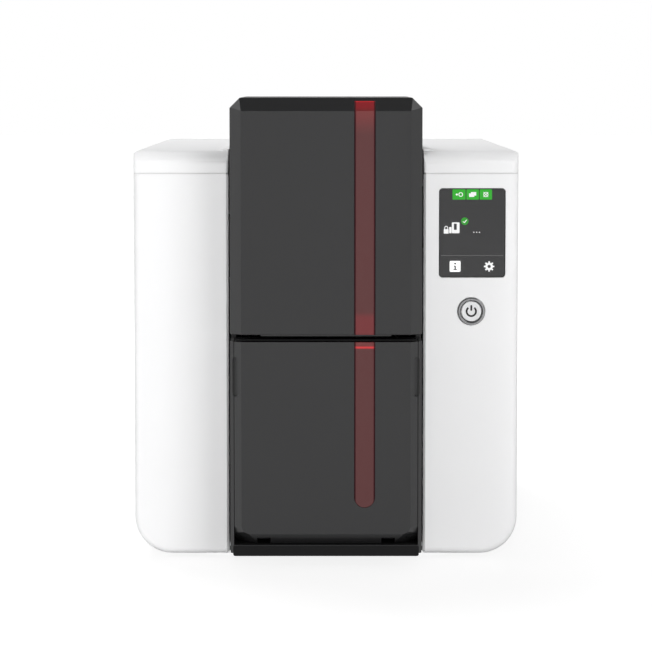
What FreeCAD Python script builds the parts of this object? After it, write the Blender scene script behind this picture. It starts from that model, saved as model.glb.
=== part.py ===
import FreeCAD, Part
import math
import os
from FreeCAD import Vector

os.makedirs("parts", exist_ok=True)

# Driving dimensions of the whole printer, in millimetres
card_width = 54.0
card_length = 85.6
card_play = 0.7
hopper_wall = 2.0
hopper_front_gap = 3.5
plate_gap = 8.3
plate_thickness = 2.0
drive_bay = 17.8
tower_wall = 2.5
opening_gap = 2.0
wing_width = 50.5
tower_proud = 44.0
door_rim_proud = 15.0
door_gap_rear = 1.2
body_depth = 337.0
lid_top_z = 218.5
lid_height = 11.6
lid_seam = 0.5
tower_rise = 28.5
seam_top_z = 124.4
seam_gap = 3.9
card_drop = 1.2
ground_gap = 2.5
white_wall = 2.5
black_wall = 2.2
rear_wall = 3.0
overrun = 5.0
seat_gap = 0.1
running_gap = 0.05
body_gap = 0.4
bar_sides = 12
round_sides = 24

# Places that follow from the driving dimensions
hopper_half = card_width / 2 + card_play
hopper_outer = hopper_half + hopper_wall
plate_x0 = hopper_outer + plate_gap
plate_x1 = plate_x0 + plate_thickness
half_tower = hopper_outer + drive_bay + tower_wall
half_opening = half_tower + opening_gap
half_width = half_opening + wing_width
depth = tower_proud + body_depth
height = lid_top_z + tower_rise
face_y = -depth / 2
rear_y = depth / 2
cover_end_y = rear_y - rear_wall
white_y = face_y + tower_proud
door_rim_y = white_y - door_rim_proud
tower_front_y = door_rim_y + door_gap_rear
hopper_front_y = tower_front_y + hopper_front_gap
hopper_rear_y = hopper_front_y + card_length + 2 * card_play + 2 * hopper_wall
tower_rear_y = hopper_rear_y + tower_wall
lid_bottom_z = lid_top_z - lid_height
cover_top_z = lid_bottom_z - lid_seam
seam_bottom_z = seam_top_z - seam_gap
card_top_z = seam_top_z - card_drop

# Where the pieces of the card path lie along the run behind the tower
platen_share = 0.25
exit_share = 0.49
takeup_share = 0.5
plate_end_share = 0.85
path_run = cover_end_y - tower_rear_y
platen_y = tower_rear_y + path_run * platen_share
exit_y = tower_rear_y + path_run * exit_share
takeup_y = tower_rear_y + path_run * takeup_share
plate_y1 = tower_rear_y + path_run * plate_end_share
origin = Vector(0, 0, 0)
right = Vector(1, 0, 0)
back = Vector(0, 1, 0)
up = Vector(0, 0, 1)


# Outlines and solids

def wire_through(corners, place):
    """A closed wire through corners (u, v, radius); a radius below zero cuts the corner straight."""
    count = len(corners)
    starts = []
    mids = []
    ends = []
    for index in range(count):
        point = Vector(corners[index][0], corners[index][1], 0)
        before = Vector(corners[index - 1][0], corners[index - 1][1], 0)
        after = Vector(corners[(index + 1) % count][0], corners[(index + 1) % count][1], 0)
        radius = corners[index][2]
        if radius == 0:
            starts.append(point)
            mids.append(None)
            ends.append(point)
            continue
        inward = (before - point).normalize()
        outward = (after - point).normalize()
        if radius < 0:
            starts.append(point - inward * radius)
            mids.append(None)
            ends.append(point - outward * radius)
            continue
        half_turn = inward.getAngle(outward) / 2
        reach = radius / math.tan(half_turn)
        centre = point + (inward + outward).normalize() * (radius / math.sin(half_turn))
        starts.append(point + inward * reach)
        mids.append(centre + (point - centre).normalize() * radius)
        ends.append(point + outward * reach)
    edges = []
    for index in range(count):
        if mids[index] is not None:
            arc = Part.Arc(place(starts[index]), place(mids[index]), place(ends[index]))
            edges.append(arc.toShape())
        elif ends[index].distanceToPoint(starts[index]) > Part.Precision.confusion():
            edges.append(Part.makeLine(place(starts[index]), place(ends[index])))
        following = starts[(index + 1) % count]
        if ends[index].distanceToPoint(following) > Part.Precision.confusion():
            edges.append(Part.makeLine(place(ends[index]), place(following)))
    return Part.Wire(edges)


def along_x(corners, x0, x1):
    """A prism whose outline lies in the side view (y, z), from x0 to x1."""
    wire = wire_through(corners, lambda p: Vector(x0, p.x, p.y))
    return Part.Face(wire).extrude(Vector(x1 - x0, 0, 0))


def along_y(corners, y0, y1):
    """A prism whose outline lies in the front view (x, z), from y0 to y1."""
    wire = wire_through(corners, lambda p: Vector(p.x, y0, p.y))
    return Part.Face(wire).extrude(Vector(0, y1 - y0, 0))


def along_z(corners, z0, z1):
    """A prism whose outline lies in the plan (x, y), from z0 to z1."""
    wire = wire_through(corners, lambda p: Vector(p.x, p.y, z0))
    return Part.Face(wire).extrude(Vector(0, 0, z1 - z0))


def frame_of(u0, u1, v0, v1, radius=0):
    """The corners of a rectangle, all with one radius."""
    return [(u0, v0, radius), (u1, v0, radius), (u1, v1, radius), (u0, v1, radius)]


def block(x0, x1, y0, y1, z0, z1):
    """A plain block between two corners."""
    return Part.makeBox(x1 - x0, y1 - y0, z1 - z0, Vector(x0, y0, z0))


def rod_y(y0, y1, x, z, radius):
    """A round bar along y."""
    return Part.makeCylinder(radius, y1 - y0, Vector(x, y0, z), back)


def polar(u, v, radius, angle):
    """A sharp corner at a radius and an angle from a centre."""
    return (u + radius * math.cos(angle), v + radius * math.sin(angle), 0)


def many_sided(u, v, radius, sides):
    """The corners of a regular outline with flats towards both axes."""
    return [polar(u, v, radius, (2 * number + 1) * math.pi / sides) for number in range(sides)]


def bar_x(x0, x1, y, z, radius, sides=bar_sides):
    """A many-sided bar along x, its corners at the radius."""
    return along_x(many_sided(y, z, radius, sides), x0, x1)


def bar_y(y0, y1, x, z, radius, sides=bar_sides):
    """A many-sided bar along y, its corners at the radius."""
    return along_y(many_sided(x, z, radius, sides), y0, y1)


def bar_z(z0, z1, x, y, radius, sides=bar_sides):
    """A many-sided bar along z, its corners at the radius."""
    return along_z(many_sided(x, y, radius, sides), z0, z1)


def bore_x(x0, x1, y, z, radius):
    """The space of a bore along x whose flats lie at the radius, so that a round pin of it fits."""
    return bar_x(x0, x1, y, z, radius / math.cos(math.pi / bar_sides))


def joined(*shapes):
    """One solid from shapes that meet."""
    return shapes[0].multiFuse(list(shapes[1:])).removeSplitter()


def cut(shape, *tools):
    """A shape with tools taken away."""
    return shape.cut(list(tools)).removeSplitter()


def mirrored(shape):
    """The same shape on the other side of the middle plane."""
    return shape.mirror(origin, right)


def edges_where(shape, wanted):
    """The edges whose bounding box passes a test."""
    return [edge for edge in shape.Edges if wanted(edge.BoundBox)]


def near(a, b):
    """Whether two places are the same."""
    return abs(a - b) < Part.Precision.confusion() * 10


def save(name, *solids):
    """Write one node with its solids."""
    parts = []
    for solid in solids:
        parts.extend(solid.Solids)
    for number, part in enumerate(parts):
        if not part.isValid() or part.Volume <= 0:
            print("bad solid in", name, number)
    Part.makeCompound(parts).exportStep("parts/" + name + ".step")


# Side covers: one white moulding a side, with its front wing, side wall and bottom flange
corner_radius = 20.0
front_edge_radius = 3.5
opening_edge_chamfer = 1.2
return_depth = 8.0
return_wall = 2.0
flange_reach = 38.5
cover_inner_x = half_width - white_wall
cover_inner_y = white_y + white_wall
cover_floor_z = ground_gap + white_wall
cover_rib_height = 6.0
cover_rib_wall = 1.6
cover_rib_shares = (0.2, 0.45, 0.7)


def side_cover():
    """The right-hand cover; the left one is its mirror image."""
    shell = along_y([(half_opening, ground_gap, 0), (half_width, ground_gap, corner_radius),
                     (half_width, cover_top_z, 0), (half_opening, cover_top_z, 0)], white_y, cover_end_y)
    outer = edges_where(shell, lambda b: near(b.YMin, white_y) and near(b.YMax, white_y)
                        and b.ZMin < cover_top_z - corner_radius
                        and b.XMax > half_opening + front_edge_radius)
    shell = shell.makeFillet(front_edge_radius, outer)
    inner = edges_where(shell, lambda b: near(b.YMin, white_y) and near(b.YMax, white_y)
                        and near(b.XMin, half_opening) and near(b.XMax, half_opening))
    shell = shell.makeChamfer(opening_edge_chamfer, inner)
    inside = along_y([(0, cover_floor_z, 0), (cover_inner_x, cover_floor_z, corner_radius - white_wall),
                      (cover_inner_x, cover_top_z + overrun, 0), (0, cover_top_z + overrun, 0)],
                     cover_inner_y, cover_end_y + overrun)
    flange_edge = half_width - flange_reach
    under = block(0, flange_edge, cover_inner_y, cover_end_y + overrun, 0, cover_floor_z + overrun)
    shell = cut(shell, inside, under)
    lip = block(half_opening, half_opening + return_wall, cover_inner_y, cover_inner_y + return_depth,
                ground_gap, cover_top_z)
    shell = joined(shell, lip)
    run = cover_end_y - cover_inner_y
    for share in cover_rib_shares:
        rib_y = cover_inner_y + run * share
        rib = block(cover_inner_x - cover_rib_height, cover_inner_x, rib_y, rib_y + cover_rib_wall,
                    ground_gap + corner_radius, cover_top_z - lid_height)
        shell = joined(shell, rib)
    return shell


# Touch screen: a dark glass flush in the right wing, over its display module
screen_width = 34.9
screen_tall = 47.1
screen_place_share = 0.5385
screen_top_inset = 7.9
screen_corner_radius = 2.0
screen_gap = 0.3
screen_recess = 0.4
glass_thickness = 1.5
module_margin = 0.6
module_thickness = 5.0
screen_x0 = half_opening + (wing_width - screen_width) * screen_place_share
screen_x1 = screen_x0 + screen_width
screen_z1 = cover_top_z - screen_top_inset
screen_z0 = screen_z1 - screen_tall
glass_y0 = white_y + screen_recess
glass_y1 = glass_y0 + glass_thickness
module_y0 = cover_inner_y
module_y1 = module_y0 + module_thickness

# Power button: a white cap in a metal ring, over a switch on the panel board
button_share = 0.49
button_drop = 18.3
ring_radius = 7.5
ring_bore_radius = 5.7
ring_proud = 0.8
ring_flange_half = 8.5
ring_flange_thickness = 1.5
button_radius = 5.35
button_proud = 0.5
button_flange_radius = 7.0
button_flange_thickness = 1.0
button_travel = 1.5
button_x = screen_x0 + screen_width * button_share
button_z = screen_z0 - button_drop
ring_rear_y = cover_inner_y + ring_flange_thickness
button_flange_y = ring_rear_y + body_gap
button_rear_y = button_flange_y + button_flange_thickness
board_thickness = 1.6
board_y0 = module_y1
board_y1 = board_y0 + board_thickness
switch_side = 6.0
panel_board_gap = 2.5
panel_board_side_gap = 1.0
panel_board_below = 14.1
panel_board_above = 7.5
panel_board_x0 = half_opening + return_wall + panel_board_gap
panel_board_x1 = cover_inner_x - panel_board_side_gap
panel_board_z0 = button_z - panel_board_below
panel_board_z1 = screen_z1 + panel_board_above
panel_boss_half = 2.2
panel_boss_inset = 3.0
panel_boss_drop = 2.7


def panel_boss_places():
    """Where the panel board is fixed to the back of the right wing."""
    places = []
    for x in (panel_board_x0 + panel_boss_inset, panel_board_x1 - panel_boss_inset):
        places.append((x, panel_board_z0 + panel_boss_inset))
    places.append((panel_board_x0 + panel_boss_inset, panel_board_z1 - panel_boss_drop))
    return places


def left_cover():
    """The plain left wing and side."""
    return mirrored(side_cover())


def right_cover():
    """The right wing with its screen and button openings and board bosses."""
    shell = side_cover()
    window = along_y(frame_of(screen_x0 - screen_gap, screen_x1 + screen_gap,
                              screen_z0 - screen_gap, screen_z1 + screen_gap,
                              screen_corner_radius), white_y - overrun, cover_inner_y + overrun)
    hole = rod_y(white_y - overrun, cover_inner_y + overrun, button_x, button_z, ring_radius + seat_gap)
    shell = cut(shell, window, hole)
    for x, z in panel_boss_places():
        shell = joined(shell, block(x - panel_boss_half, x + panel_boss_half, cover_inner_y - white_wall / 2,
                                    board_y0, z - panel_boss_half, z + panel_boss_half))
    return shell


def screen_glass():
    """The glass, with rounded corners."""
    return along_y(frame_of(screen_x0, screen_x1, screen_z0, screen_z1, screen_corner_radius),
                   glass_y0, glass_y1)


def screen_module():
    """The display behind the glass, with a step that fills the opening."""
    tray = block(screen_x0 - module_margin, screen_x1 + module_margin, module_y0, module_y1,
                 screen_z0 - module_margin, screen_z1 + module_margin)
    step = along_y(frame_of(screen_x0, screen_x1, screen_z0, screen_z1, -screen_corner_radius),
                   glass_y1, module_y0)
    return joined(tray, step)


def power_ring():
    """The metal ring with its square flange behind the wing."""
    tube = rod_y(white_y - ring_proud, ring_rear_y, button_x, button_z, ring_radius)
    flange = block(button_x - ring_flange_half, button_x + ring_flange_half, cover_inner_y, ring_rear_y,
                   button_z - ring_flange_half, button_z + ring_flange_half)
    bore = rod_y(white_y - overrun, ring_rear_y + overrun, button_x, button_z, ring_bore_radius)
    return cut(joined(tube, flange), bore)


def power_button():
    """The cap, held in by its flange."""
    cap = rod_y(white_y - button_proud, button_rear_y, button_x, button_z, button_radius)
    flange = bar_y(button_flange_y, button_rear_y, button_x, button_z, button_flange_radius)
    return joined(cap, flange)


def panel_board():
    """The board behind screen and button, with the switch."""
    board = block(panel_board_x0, panel_board_x1, board_y0, board_y1, panel_board_z0, panel_board_z1)
    switch_y = button_rear_y + button_travel + body_gap
    half = switch_side / 2
    switch = block(button_x - half, button_x + half, switch_y, board_y0, button_z - half, button_z + half)
    return joined(board, switch)


# Base plate and feet
base_thickness = 2.0
base_edge_gap = 2.5
base_front_gap = 1.0
base_side_height = 10.0
foot_radius = 9.0
foot_side_inset = 32.0
foot_inset = 34.0
base_half_width = half_width - corner_radius - base_edge_gap
foot_x = base_half_width - foot_side_inset
base_z0 = cover_floor_z
base_z1 = base_z0 + base_thickness
base_y0 = cover_inner_y + return_depth + base_front_gap
base_y1 = cover_end_y
foot_ys = (white_y + foot_inset, rear_y - foot_inset)
board_stand_radius = 3.2
board_stand_tall = 13.0
main_board_gap = 2.5
main_board_side_gap = 2.0
main_board_rear_gap = 1.0
main_board_z0 = base_z1 + board_stand_tall
main_board_x0 = plate_x1 + main_board_gap
main_board_x1 = cover_inner_x - main_board_side_gap
main_board_y0 = exit_y
main_board_y1 = cover_end_y - main_board_rear_gap
main_board_inset = 6.0


def board_stand_places():
    """The main board's four stands."""
    xs = (main_board_x0 + main_board_inset + base_side_height, base_half_width - main_board_inset)
    ys = (main_board_y0 + main_board_inset, main_board_y1 - main_board_inset - foot_inset)
    return [(x, y) for x in xs for y in ys]


def base_plate():
    """The steel floor with turned-up sides, lying on the covers' flanges."""
    floor = block(-base_half_width, base_half_width, base_y0, base_y1, base_z0, base_z1)
    stands = [bar_z(base_z1, main_board_z0, x, y, board_stand_radius) for x, y in board_stand_places()]
    flange = block(base_half_width - base_thickness, base_half_width, base_y0 + base_side_height,
                   base_y1 - base_side_height, base_z0, base_z1 + base_side_height)
    return joined(floor, flange, mirrored(flange), *stands)


def rubber_feet():
    """Four feet under the floor."""
    return [bar_z(0, base_z0, side * foot_x, y, foot_radius) for side in (-1, 1) for y in foot_ys]


# Rear panel: the back wall and the fixed strip behind the lid
lid_barrel_radius = lid_height / 2
lid_axis_inset = 27.5
lid_axis_y = rear_y - lid_axis_inset
lid_axis_z = lid_top_z - lid_barrel_radius
strip_gap = 0.5
strip_y0 = lid_axis_y + lid_barrel_radius + strip_gap
rear_edge_radius = 2.5
card_slot_half = 29.0
card_slot_tall = 6.0
card_slot_corner = 1.0
vent_slot_tall = 2.6
vent_pitch = 5.2
vent_half = 17.0
fan_inset = 44.5
fan_drop = 56.4
fan_side = 40.0
fan_thick = 10.0
vent_rows = 7
vent_drop = 38.4
ethernet_inset = 26.0
socket_gap = 0.5
ethernet_width = 16.0
ethernet_tall = 13.5
ethernet_depth = 21.0
usb_inset = 46.0
usb_width = 12.0
usb_tall = 11.0
usb_depth = 16.0
jack_inset = 8.0
jack_width = 9.0
jack_tall = 11.0
jack_depth = 14.0
board_thick = 1.6
board_top_z = main_board_z0 + board_thick
lock_slot_inset = 22.5
lock_slot_z = 40.0
lock_slot_wide = 7.0
lock_slot_tall = 3.0
ear_inset = 32.5
ear_width = 6.0
ear_radius = 4.0
ear_corner_cut = 2.3
ear_drop = 22.0
ear_wall_drop = 34.0
hinge_pin_radius = 1.5
pin_bore_radius = hinge_pin_radius + running_gap
panel_screw_head_radius = 3.0
panel_screw_head_tall = 1.6
panel_screw_inset_x = 9.0
panel_screw_low_z = 52.0
panel_screw_drop = 10.4
rear_rim_chamfer = 1.5
strip_wall = 2.5
fan_x = fan_inset - half_width
fan_z = cover_top_z - fan_drop
vent_x = half_width - fan_inset
vent_z = cover_top_z - vent_drop
ethernet_x = main_board_x1 - ethernet_inset
usb_x = main_board_x1 - usb_inset
jack_x = main_board_x1 - jack_inset
lock_slot_x = lock_slot_inset - half_width
ear_x0 = half_width - ear_inset
panel_screw_zs = (panel_screw_low_z, cover_top_z - panel_screw_drop)


def panel_screw_places():
    """The screws that hold the rear panel to the covers."""
    return [(side * (half_width - panel_screw_inset_x), z) for side in (-1, 1) for z in panel_screw_zs]


def slot_y(x, z, wide, tall, y0, y1):
    """A slot through a rear wall, about its middle."""
    return block(x - wide / 2, x + wide / 2, y0, y1, z - tall / 2, z + tall / 2)


def rear_panel():
    """The back wall with vents, socket openings, card slot and hinge ears."""
    wall = along_y([(-half_width, ground_gap, corner_radius), (half_width, ground_gap, corner_radius),
                    (half_width, lid_top_z, rear_edge_radius), (-half_width, lid_top_z, rear_edge_radius)],
                   cover_end_y, rear_y)
    strip = along_y([(-half_width, cover_top_z, 0), (half_width, cover_top_z, 0),
                     (half_width, lid_top_z, rear_edge_radius), (-half_width, lid_top_z, rear_edge_radius)],
                    strip_y0, cover_end_y)
    panel = joined(wall, strip)
    rim = edges_where(panel, lambda b: near(b.YMin, rear_y) and near(b.YMax, rear_y))
    panel = panel.makeChamfer(rear_rim_chamfer, rim)
    hollow = block(-half_width + strip_wall, half_width - strip_wall, strip_y0 + strip_wall, cover_end_y,
                   cover_top_z - overrun, lid_top_z - strip_wall)
    panel = cut(panel, hollow)
    ear_corners = [(lid_axis_y - ear_radius, lid_axis_z + ear_radius, -ear_corner_cut),
                   (lid_axis_y + ear_radius, lid_axis_z + ear_radius, -ear_corner_cut),
                   (lid_axis_y + ear_radius, lid_axis_z - ear_drop, 0),
                   (cover_end_y, lid_axis_z - ear_drop, 0),
                   (cover_end_y, lid_axis_z - ear_wall_drop, 0),
                   (lid_axis_y - ear_radius, lid_axis_z - ear_drop - ear_radius, 0)]
    ear = along_x(ear_corners, ear_x0, ear_x0 + ear_width)
    panel = joined(panel, ear, mirrored(ear))
    tools = [bore_x(-half_width, half_width, lid_axis_y, lid_axis_z, hinge_pin_radius)]
    y0 = cover_end_y - overrun
    y1 = rear_y + overrun
    tools.append(along_y(frame_of(-card_slot_half, card_slot_half, card_top_z, card_top_z + card_slot_tall,
                                  -card_slot_corner), y0, y1))
    for row in range(vent_rows):
        offset = (row - (vent_rows - 1) / 2) * vent_pitch
        tools.append(slot_y(fan_x, fan_z + offset, 2 * vent_half, vent_slot_tall, y0, y1))
        tools.append(slot_y(vent_x, vent_z + offset, 2 * vent_half, vent_slot_tall, y0, y1))
    for x, wide, tall in ((ethernet_x, ethernet_width, ethernet_tall), (usb_x, usb_width, usb_tall),
                          (jack_x, jack_width, jack_tall)):
        tools.append(block(x - wide / 2 - socket_gap, x + wide / 2 + socket_gap, y0, y1,
                           board_top_z - socket_gap, board_top_z + tall + socket_gap))
    tools.append(slot_y(lock_slot_x, lock_slot_z, lock_slot_wide, lock_slot_tall, y0, y1))
    for x, z in panel_screw_places():
        tools.append(bar_y(rear_y - panel_screw_head_tall, y1, x, z, panel_screw_head_radius + seat_gap))
    return cut(panel, *tools)


def rear_screws():
    """Four screw heads, sunk in the rear panel."""
    return [bar_y(rear_y - panel_screw_head_tall, rear_y - seat_gap, x, z, panel_screw_head_radius)
            for x, z in panel_screw_places()]


def lid_hinge_pins():
    """Two steel pins through the ears and into the lid's barrel."""
    pin = bar_x(ear_x0 - ear_width / 2, ear_x0 + ear_width + ear_width / 2, lid_axis_y, lid_axis_z,
                hinge_pin_radius, round_sides)
    return [pin, mirrored(pin)]


# Lid: a shallow white cover that goes round the tower
lid_front_radius = 7.0
lid_side_radius = 2.0
lid_corner_radius = 3.5
lid_wall = 2.5
lid_back_clearance = 2.0
plateau_rise = 0.8
plateau_top_reach = 2.8
plateau_foot_reach = 6.1
plateau_front_run = 7.5
plateau_rear_run = 9.0
lid_cavity_rear = 7.0
ear_slot_gap = 0.4
lid_opening_radius = 1.5
lid_notch_y = tower_rear_y + lid_back_clearance
plateau_half_top = half_opening + plateau_top_reach
plateau_half_foot = half_opening + plateau_foot_reach


def lid_shell():
    """The lid: three outlines meet, the inside is hollowed, and the hinge barrel is slotted."""
    top_z = lid_top_z
    plan = along_z([(-half_width, white_y, lid_corner_radius), (-half_opening, white_y, lid_opening_radius),
                    (-half_opening, lid_notch_y, 0), (half_opening, lid_notch_y, 0),
                    (half_opening, white_y, lid_opening_radius), (half_width, white_y, lid_corner_radius),
                    (half_width, lid_axis_y + lid_barrel_radius, 0),
                    (-half_width, lid_axis_y + lid_barrel_radius, 0)], lid_bottom_z, top_z)
    back_y = lid_axis_y + lid_barrel_radius
    side = along_x([(white_y, lid_bottom_z, 0), (back_y, lid_bottom_z, lid_barrel_radius),
                    (back_y, top_z, lid_barrel_radius), (white_y, top_z, lid_front_radius)],
                   -half_width, half_width)
    front = along_y([(-half_width, lid_bottom_z, 0), (half_width, lid_bottom_z, 0),
                     (half_width, top_z, lid_side_radius), (-half_width, top_z, lid_side_radius)],
                    white_y, lid_axis_y + lid_barrel_radius)
    shell = plan.common(side).common(front)
    plateau = along_y([(-plateau_half_foot, top_z - lid_wall / 2, 0),
                       (plateau_half_foot, top_z - lid_wall / 2, 0), (plateau_half_foot, top_z, 0),
                       (plateau_half_top, top_z + plateau_rise, 0),
                       (-plateau_half_top, top_z + plateau_rise, 0), (-plateau_half_foot, top_z, 0)],
                      white_y + plateau_front_run, lid_axis_y - plateau_rear_run)
    notch = block(-half_opening, half_opening, white_y - overrun, lid_notch_y, lid_bottom_z - overrun,
                  top_z + overrun)
    shell = joined(shell, plateau.cut(notch))
    hollow_plan = along_z([(-half_width + lid_wall, white_y + lid_wall, 0),
                           (-half_opening - lid_wall, white_y + lid_wall, 0),
                           (-half_opening - lid_wall, lid_notch_y + lid_wall, 0),
                           (half_opening + lid_wall, lid_notch_y + lid_wall, 0),
                           (half_opening + lid_wall, white_y + lid_wall, 0),
                           (half_width - lid_wall, white_y + lid_wall, 0),
                           (half_width - lid_wall, lid_axis_y - lid_cavity_rear, 0),
                           (-half_width + lid_wall, lid_axis_y - lid_cavity_rear, 0)],
                          lid_bottom_z - overrun, top_z - lid_wall)
    hollow_side = along_x([(white_y + lid_wall, lid_bottom_z - overrun, 0),
                           (lid_axis_y, lid_bottom_z - overrun, 0), (lid_axis_y, top_z - lid_wall, 0),
                           (white_y + lid_wall, top_z - lid_wall, lid_front_radius - lid_wall)],
                          -half_width, half_width)
    slot = block(ear_x0 - ear_slot_gap, ear_x0 + ear_width + ear_slot_gap,
                 lid_axis_y - lid_cavity_rear - overrun, lid_axis_y + lid_barrel_radius + overrun,
                 lid_bottom_z - overrun, lid_axis_z + ear_radius + ear_slot_gap)
    pin_end = ear_x0 + ear_width + ear_width / 2 + ear_slot_gap
    bore = bore_x(ear_x0 - ear_width / 2 - ear_slot_gap, pin_end, lid_axis_y, lid_axis_z, pin_bore_radius)
    return cut(shell, hollow_plan.common(hollow_side), slot, mirrored(slot), bore, mirrored(bore))


# Tower: the fixed black frame behind and round the two doors
tower_floor_gap = 2.2
tower_floor_tall = 4.7
top_corner = 5.3
shelf_drop = 18.2
shelf_thickness = 3.0
side_chamfer = 6.0
cheek_wall = 1.9
axis_inset = 6.0
arm_inset = 20.5
arm_width = 6.0
arm_radius = 3.4
arm_corner_cut = 2.0
arm_slot_gap = 0.5
base_strip_inset = 1.5
base_strip_setback = 2.0
card_window_margin = 3.3
card_window_below = 12.7
card_window_above = 7.8
exit_window_drop = 3.0
exit_window_tall = 18.0
belt_slot_gap = 1.0
belt_slot_wall_gap = 0.5
tower_floor_z0 = base_z1 + tower_floor_gap
tower_floor_z1 = tower_floor_z0 + tower_floor_tall
shelf_z0 = card_top_z - shelf_drop
arm_x0 = half_tower - arm_inset
base_strip_half = half_tower - base_strip_inset
base_strip_y = face_y + base_strip_setback
card_window_half = hopper_half + card_window_margin
card_window_z0 = card_top_z - card_window_below
card_window_z1 = card_top_z + card_window_above
exit_window_z1 = shelf_z0 - exit_window_drop
exit_window_z0 = exit_window_z1 - exit_window_tall
belt_slot_x0 = plate_x1 + belt_slot_gap
belt_slot_x1 = half_tower - tower_wall - belt_slot_wall_gap
feeder_axis_y = face_y + axis_inset
feeder_axis_z = seam_top_z + axis_inset
output_bottom_z = tower_floor_z1 + body_gap
output_axis_y = face_y + axis_inset
output_axis_z = output_bottom_z + axis_inset
shelf_z1 = shelf_z0 + shelf_thickness


def tower_outline(grow):
    """The tower's front view, with its two cut top corners."""
    half = half_tower - grow
    return [(-half, tower_floor_z0 + grow, 0), (half, tower_floor_z0 + grow, 0),
            (half, height - grow - top_corner, 0), (half - top_corner, height - grow, 0),
            (-half + top_corner, height - grow, 0), (-half, height - grow - top_corner, 0)]


def hinge_arm(axis_y, axis_z):
    """An arm from the frame to a door's hinge line."""
    return along_x([(axis_y - arm_radius, axis_z - arm_radius, -arm_corner_cut),
                    (axis_y - arm_radius, axis_z + arm_radius, -arm_corner_cut),
                    (tower_front_y + tower_wall, axis_z + arm_radius, 0),
                    (tower_front_y + tower_wall, axis_z - arm_radius, 0)], arm_x0, arm_x0 + arm_width)


def tower_frame():
    """The frame: outer tube, shelf, floor, cheeks beside the lower door, and hinge arms."""
    tube = along_y(tower_outline(0), tower_front_y, tower_rear_y)
    upper = along_y([(-half_tower + tower_wall, shelf_z1, 0), (half_tower - tower_wall, shelf_z1, 0),
                     (half_tower - tower_wall, height - tower_wall - top_corner, 0),
                     (half_tower - tower_wall - top_corner, height - tower_wall, 0),
                     (-half_tower + tower_wall + top_corner, height - tower_wall, 0),
                     (-half_tower + tower_wall, height - tower_wall - top_corner, 0)],
                    tower_front_y - overrun, tower_rear_y - tower_wall)
    lower = along_y(frame_of(-half_tower + tower_wall, half_tower - tower_wall, tower_floor_z1, shelf_z0),
                    tower_front_y - overrun, tower_rear_y - tower_wall)
    frame = cut(tube, upper, lower)
    strip = block(-base_strip_half, base_strip_half, base_strip_y, tower_front_y,
                  tower_floor_z0, tower_floor_z1)
    cheek = along_z([(half_tower - cheek_wall, face_y + side_chamfer - cheek_wall, 0),
                     (half_tower, face_y + side_chamfer, 0),
                     (half_tower, tower_front_y, 0), (half_tower - cheek_wall, tower_front_y, 0)],
                    tower_floor_z0, seam_bottom_z)
    legs = block(-half_tower, half_tower, base_y0, tower_rear_y, base_z1, tower_floor_z0)
    root = block(arm_x0 - arm_width, half_tower - tower_wall, tower_front_y, tower_front_y + tower_wall,
                 feeder_axis_z - arm_radius, feeder_axis_z + arm_radius)
    low_root = block(arm_x0 - arm_width, half_tower - tower_wall, tower_front_y, tower_front_y + tower_wall,
                     tower_floor_z1, output_axis_z + arm_radius)
    pieces = [strip, cheek, mirrored(cheek), legs, root, mirrored(root), low_root, mirrored(low_root)]
    for axis_y, axis_z in ((feeder_axis_y, feeder_axis_z), (output_axis_y, output_axis_z)):
        arm = hinge_arm(axis_y, axis_z)
        pieces.extend([arm, mirrored(arm)])
    frame = joined(frame, *pieces)
    tools = []
    arm_x1 = arm_x0 + arm_width + arm_slot_gap
    for axis_y, axis_z in ((feeder_axis_y, feeder_axis_z), (output_axis_y, output_axis_z)):
        tools.append(bore_x(-arm_x1, arm_x1, axis_y, axis_z, hinge_pin_radius))
    tools.append(block(-card_window_half, card_window_half, tower_rear_y - tower_wall - overrun,
                       tower_rear_y + overrun, card_window_z0, card_window_z1))
    tools.append(block(-card_window_half, card_window_half, tower_rear_y - tower_wall - overrun,
                       tower_rear_y + overrun, exit_window_z0, exit_window_z1))
    tools.append(block(-belt_slot_x1, -belt_slot_x0, tower_rear_y - tower_wall - overrun,
                       tower_rear_y + overrun, shelf_z1, card_window_z1))
    tools.append(grip_slot(1))
    tools.append(grip_slot(-1))
    return cut(frame, *tools)


# Doors: two deep caps, the upper over the card feeder and the lower over the card output
top_bevel_tall = 6.8
top_bevel_deep = 6.0
output_inset = 2.2
output_corner_radius = 4.2
output_bevel = 5.7
window_inset = 29.9
window_width = 10.9
window_flange = 1.8
window_flange_thickness = 1.0
window_end_rise = 19.5
window_top_drop = 1.7
grip_inset = 2.95
grip_width = 3.3
grip_drop = 28.7
grip_tall = 20.6
grip_reach = 1.0
grip_scoop_depth = 0.8
knuckle_wall = 2.0
knuckle_radius = 3.6
knuckle_corner_cut = 2.1
tongue_inset = 16.0
tongue_drop = 1.0
tongue_setback = 1.6
output_half = half_tower - output_inset
window_x = half_tower - window_inset
window_end_z = output_bottom_z + window_end_rise
grip_x = half_tower - grip_inset
grip_z0 = seam_bottom_z - grip_drop
tongue_half = half_tower - tongue_inset
window_rear_y = face_y + top_bevel_deep + black_wall
window_bevel_z = height - top_bevel_tall - black_wall
pin_reach = arm_slot_gap + knuckle_wall


def grip_slot(side):
    """The space of a finger grip, over the lower door's chamfer and the frame's edge beside it."""
    radius = grip_width / 2
    x = side * grip_x
    return along_y(frame_of(x - radius, x + radius, grip_z0, grip_z0 + grip_tall, radius),
                   face_y - overrun, face_y + side_chamfer - cheek_wall + grip_reach)


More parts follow.
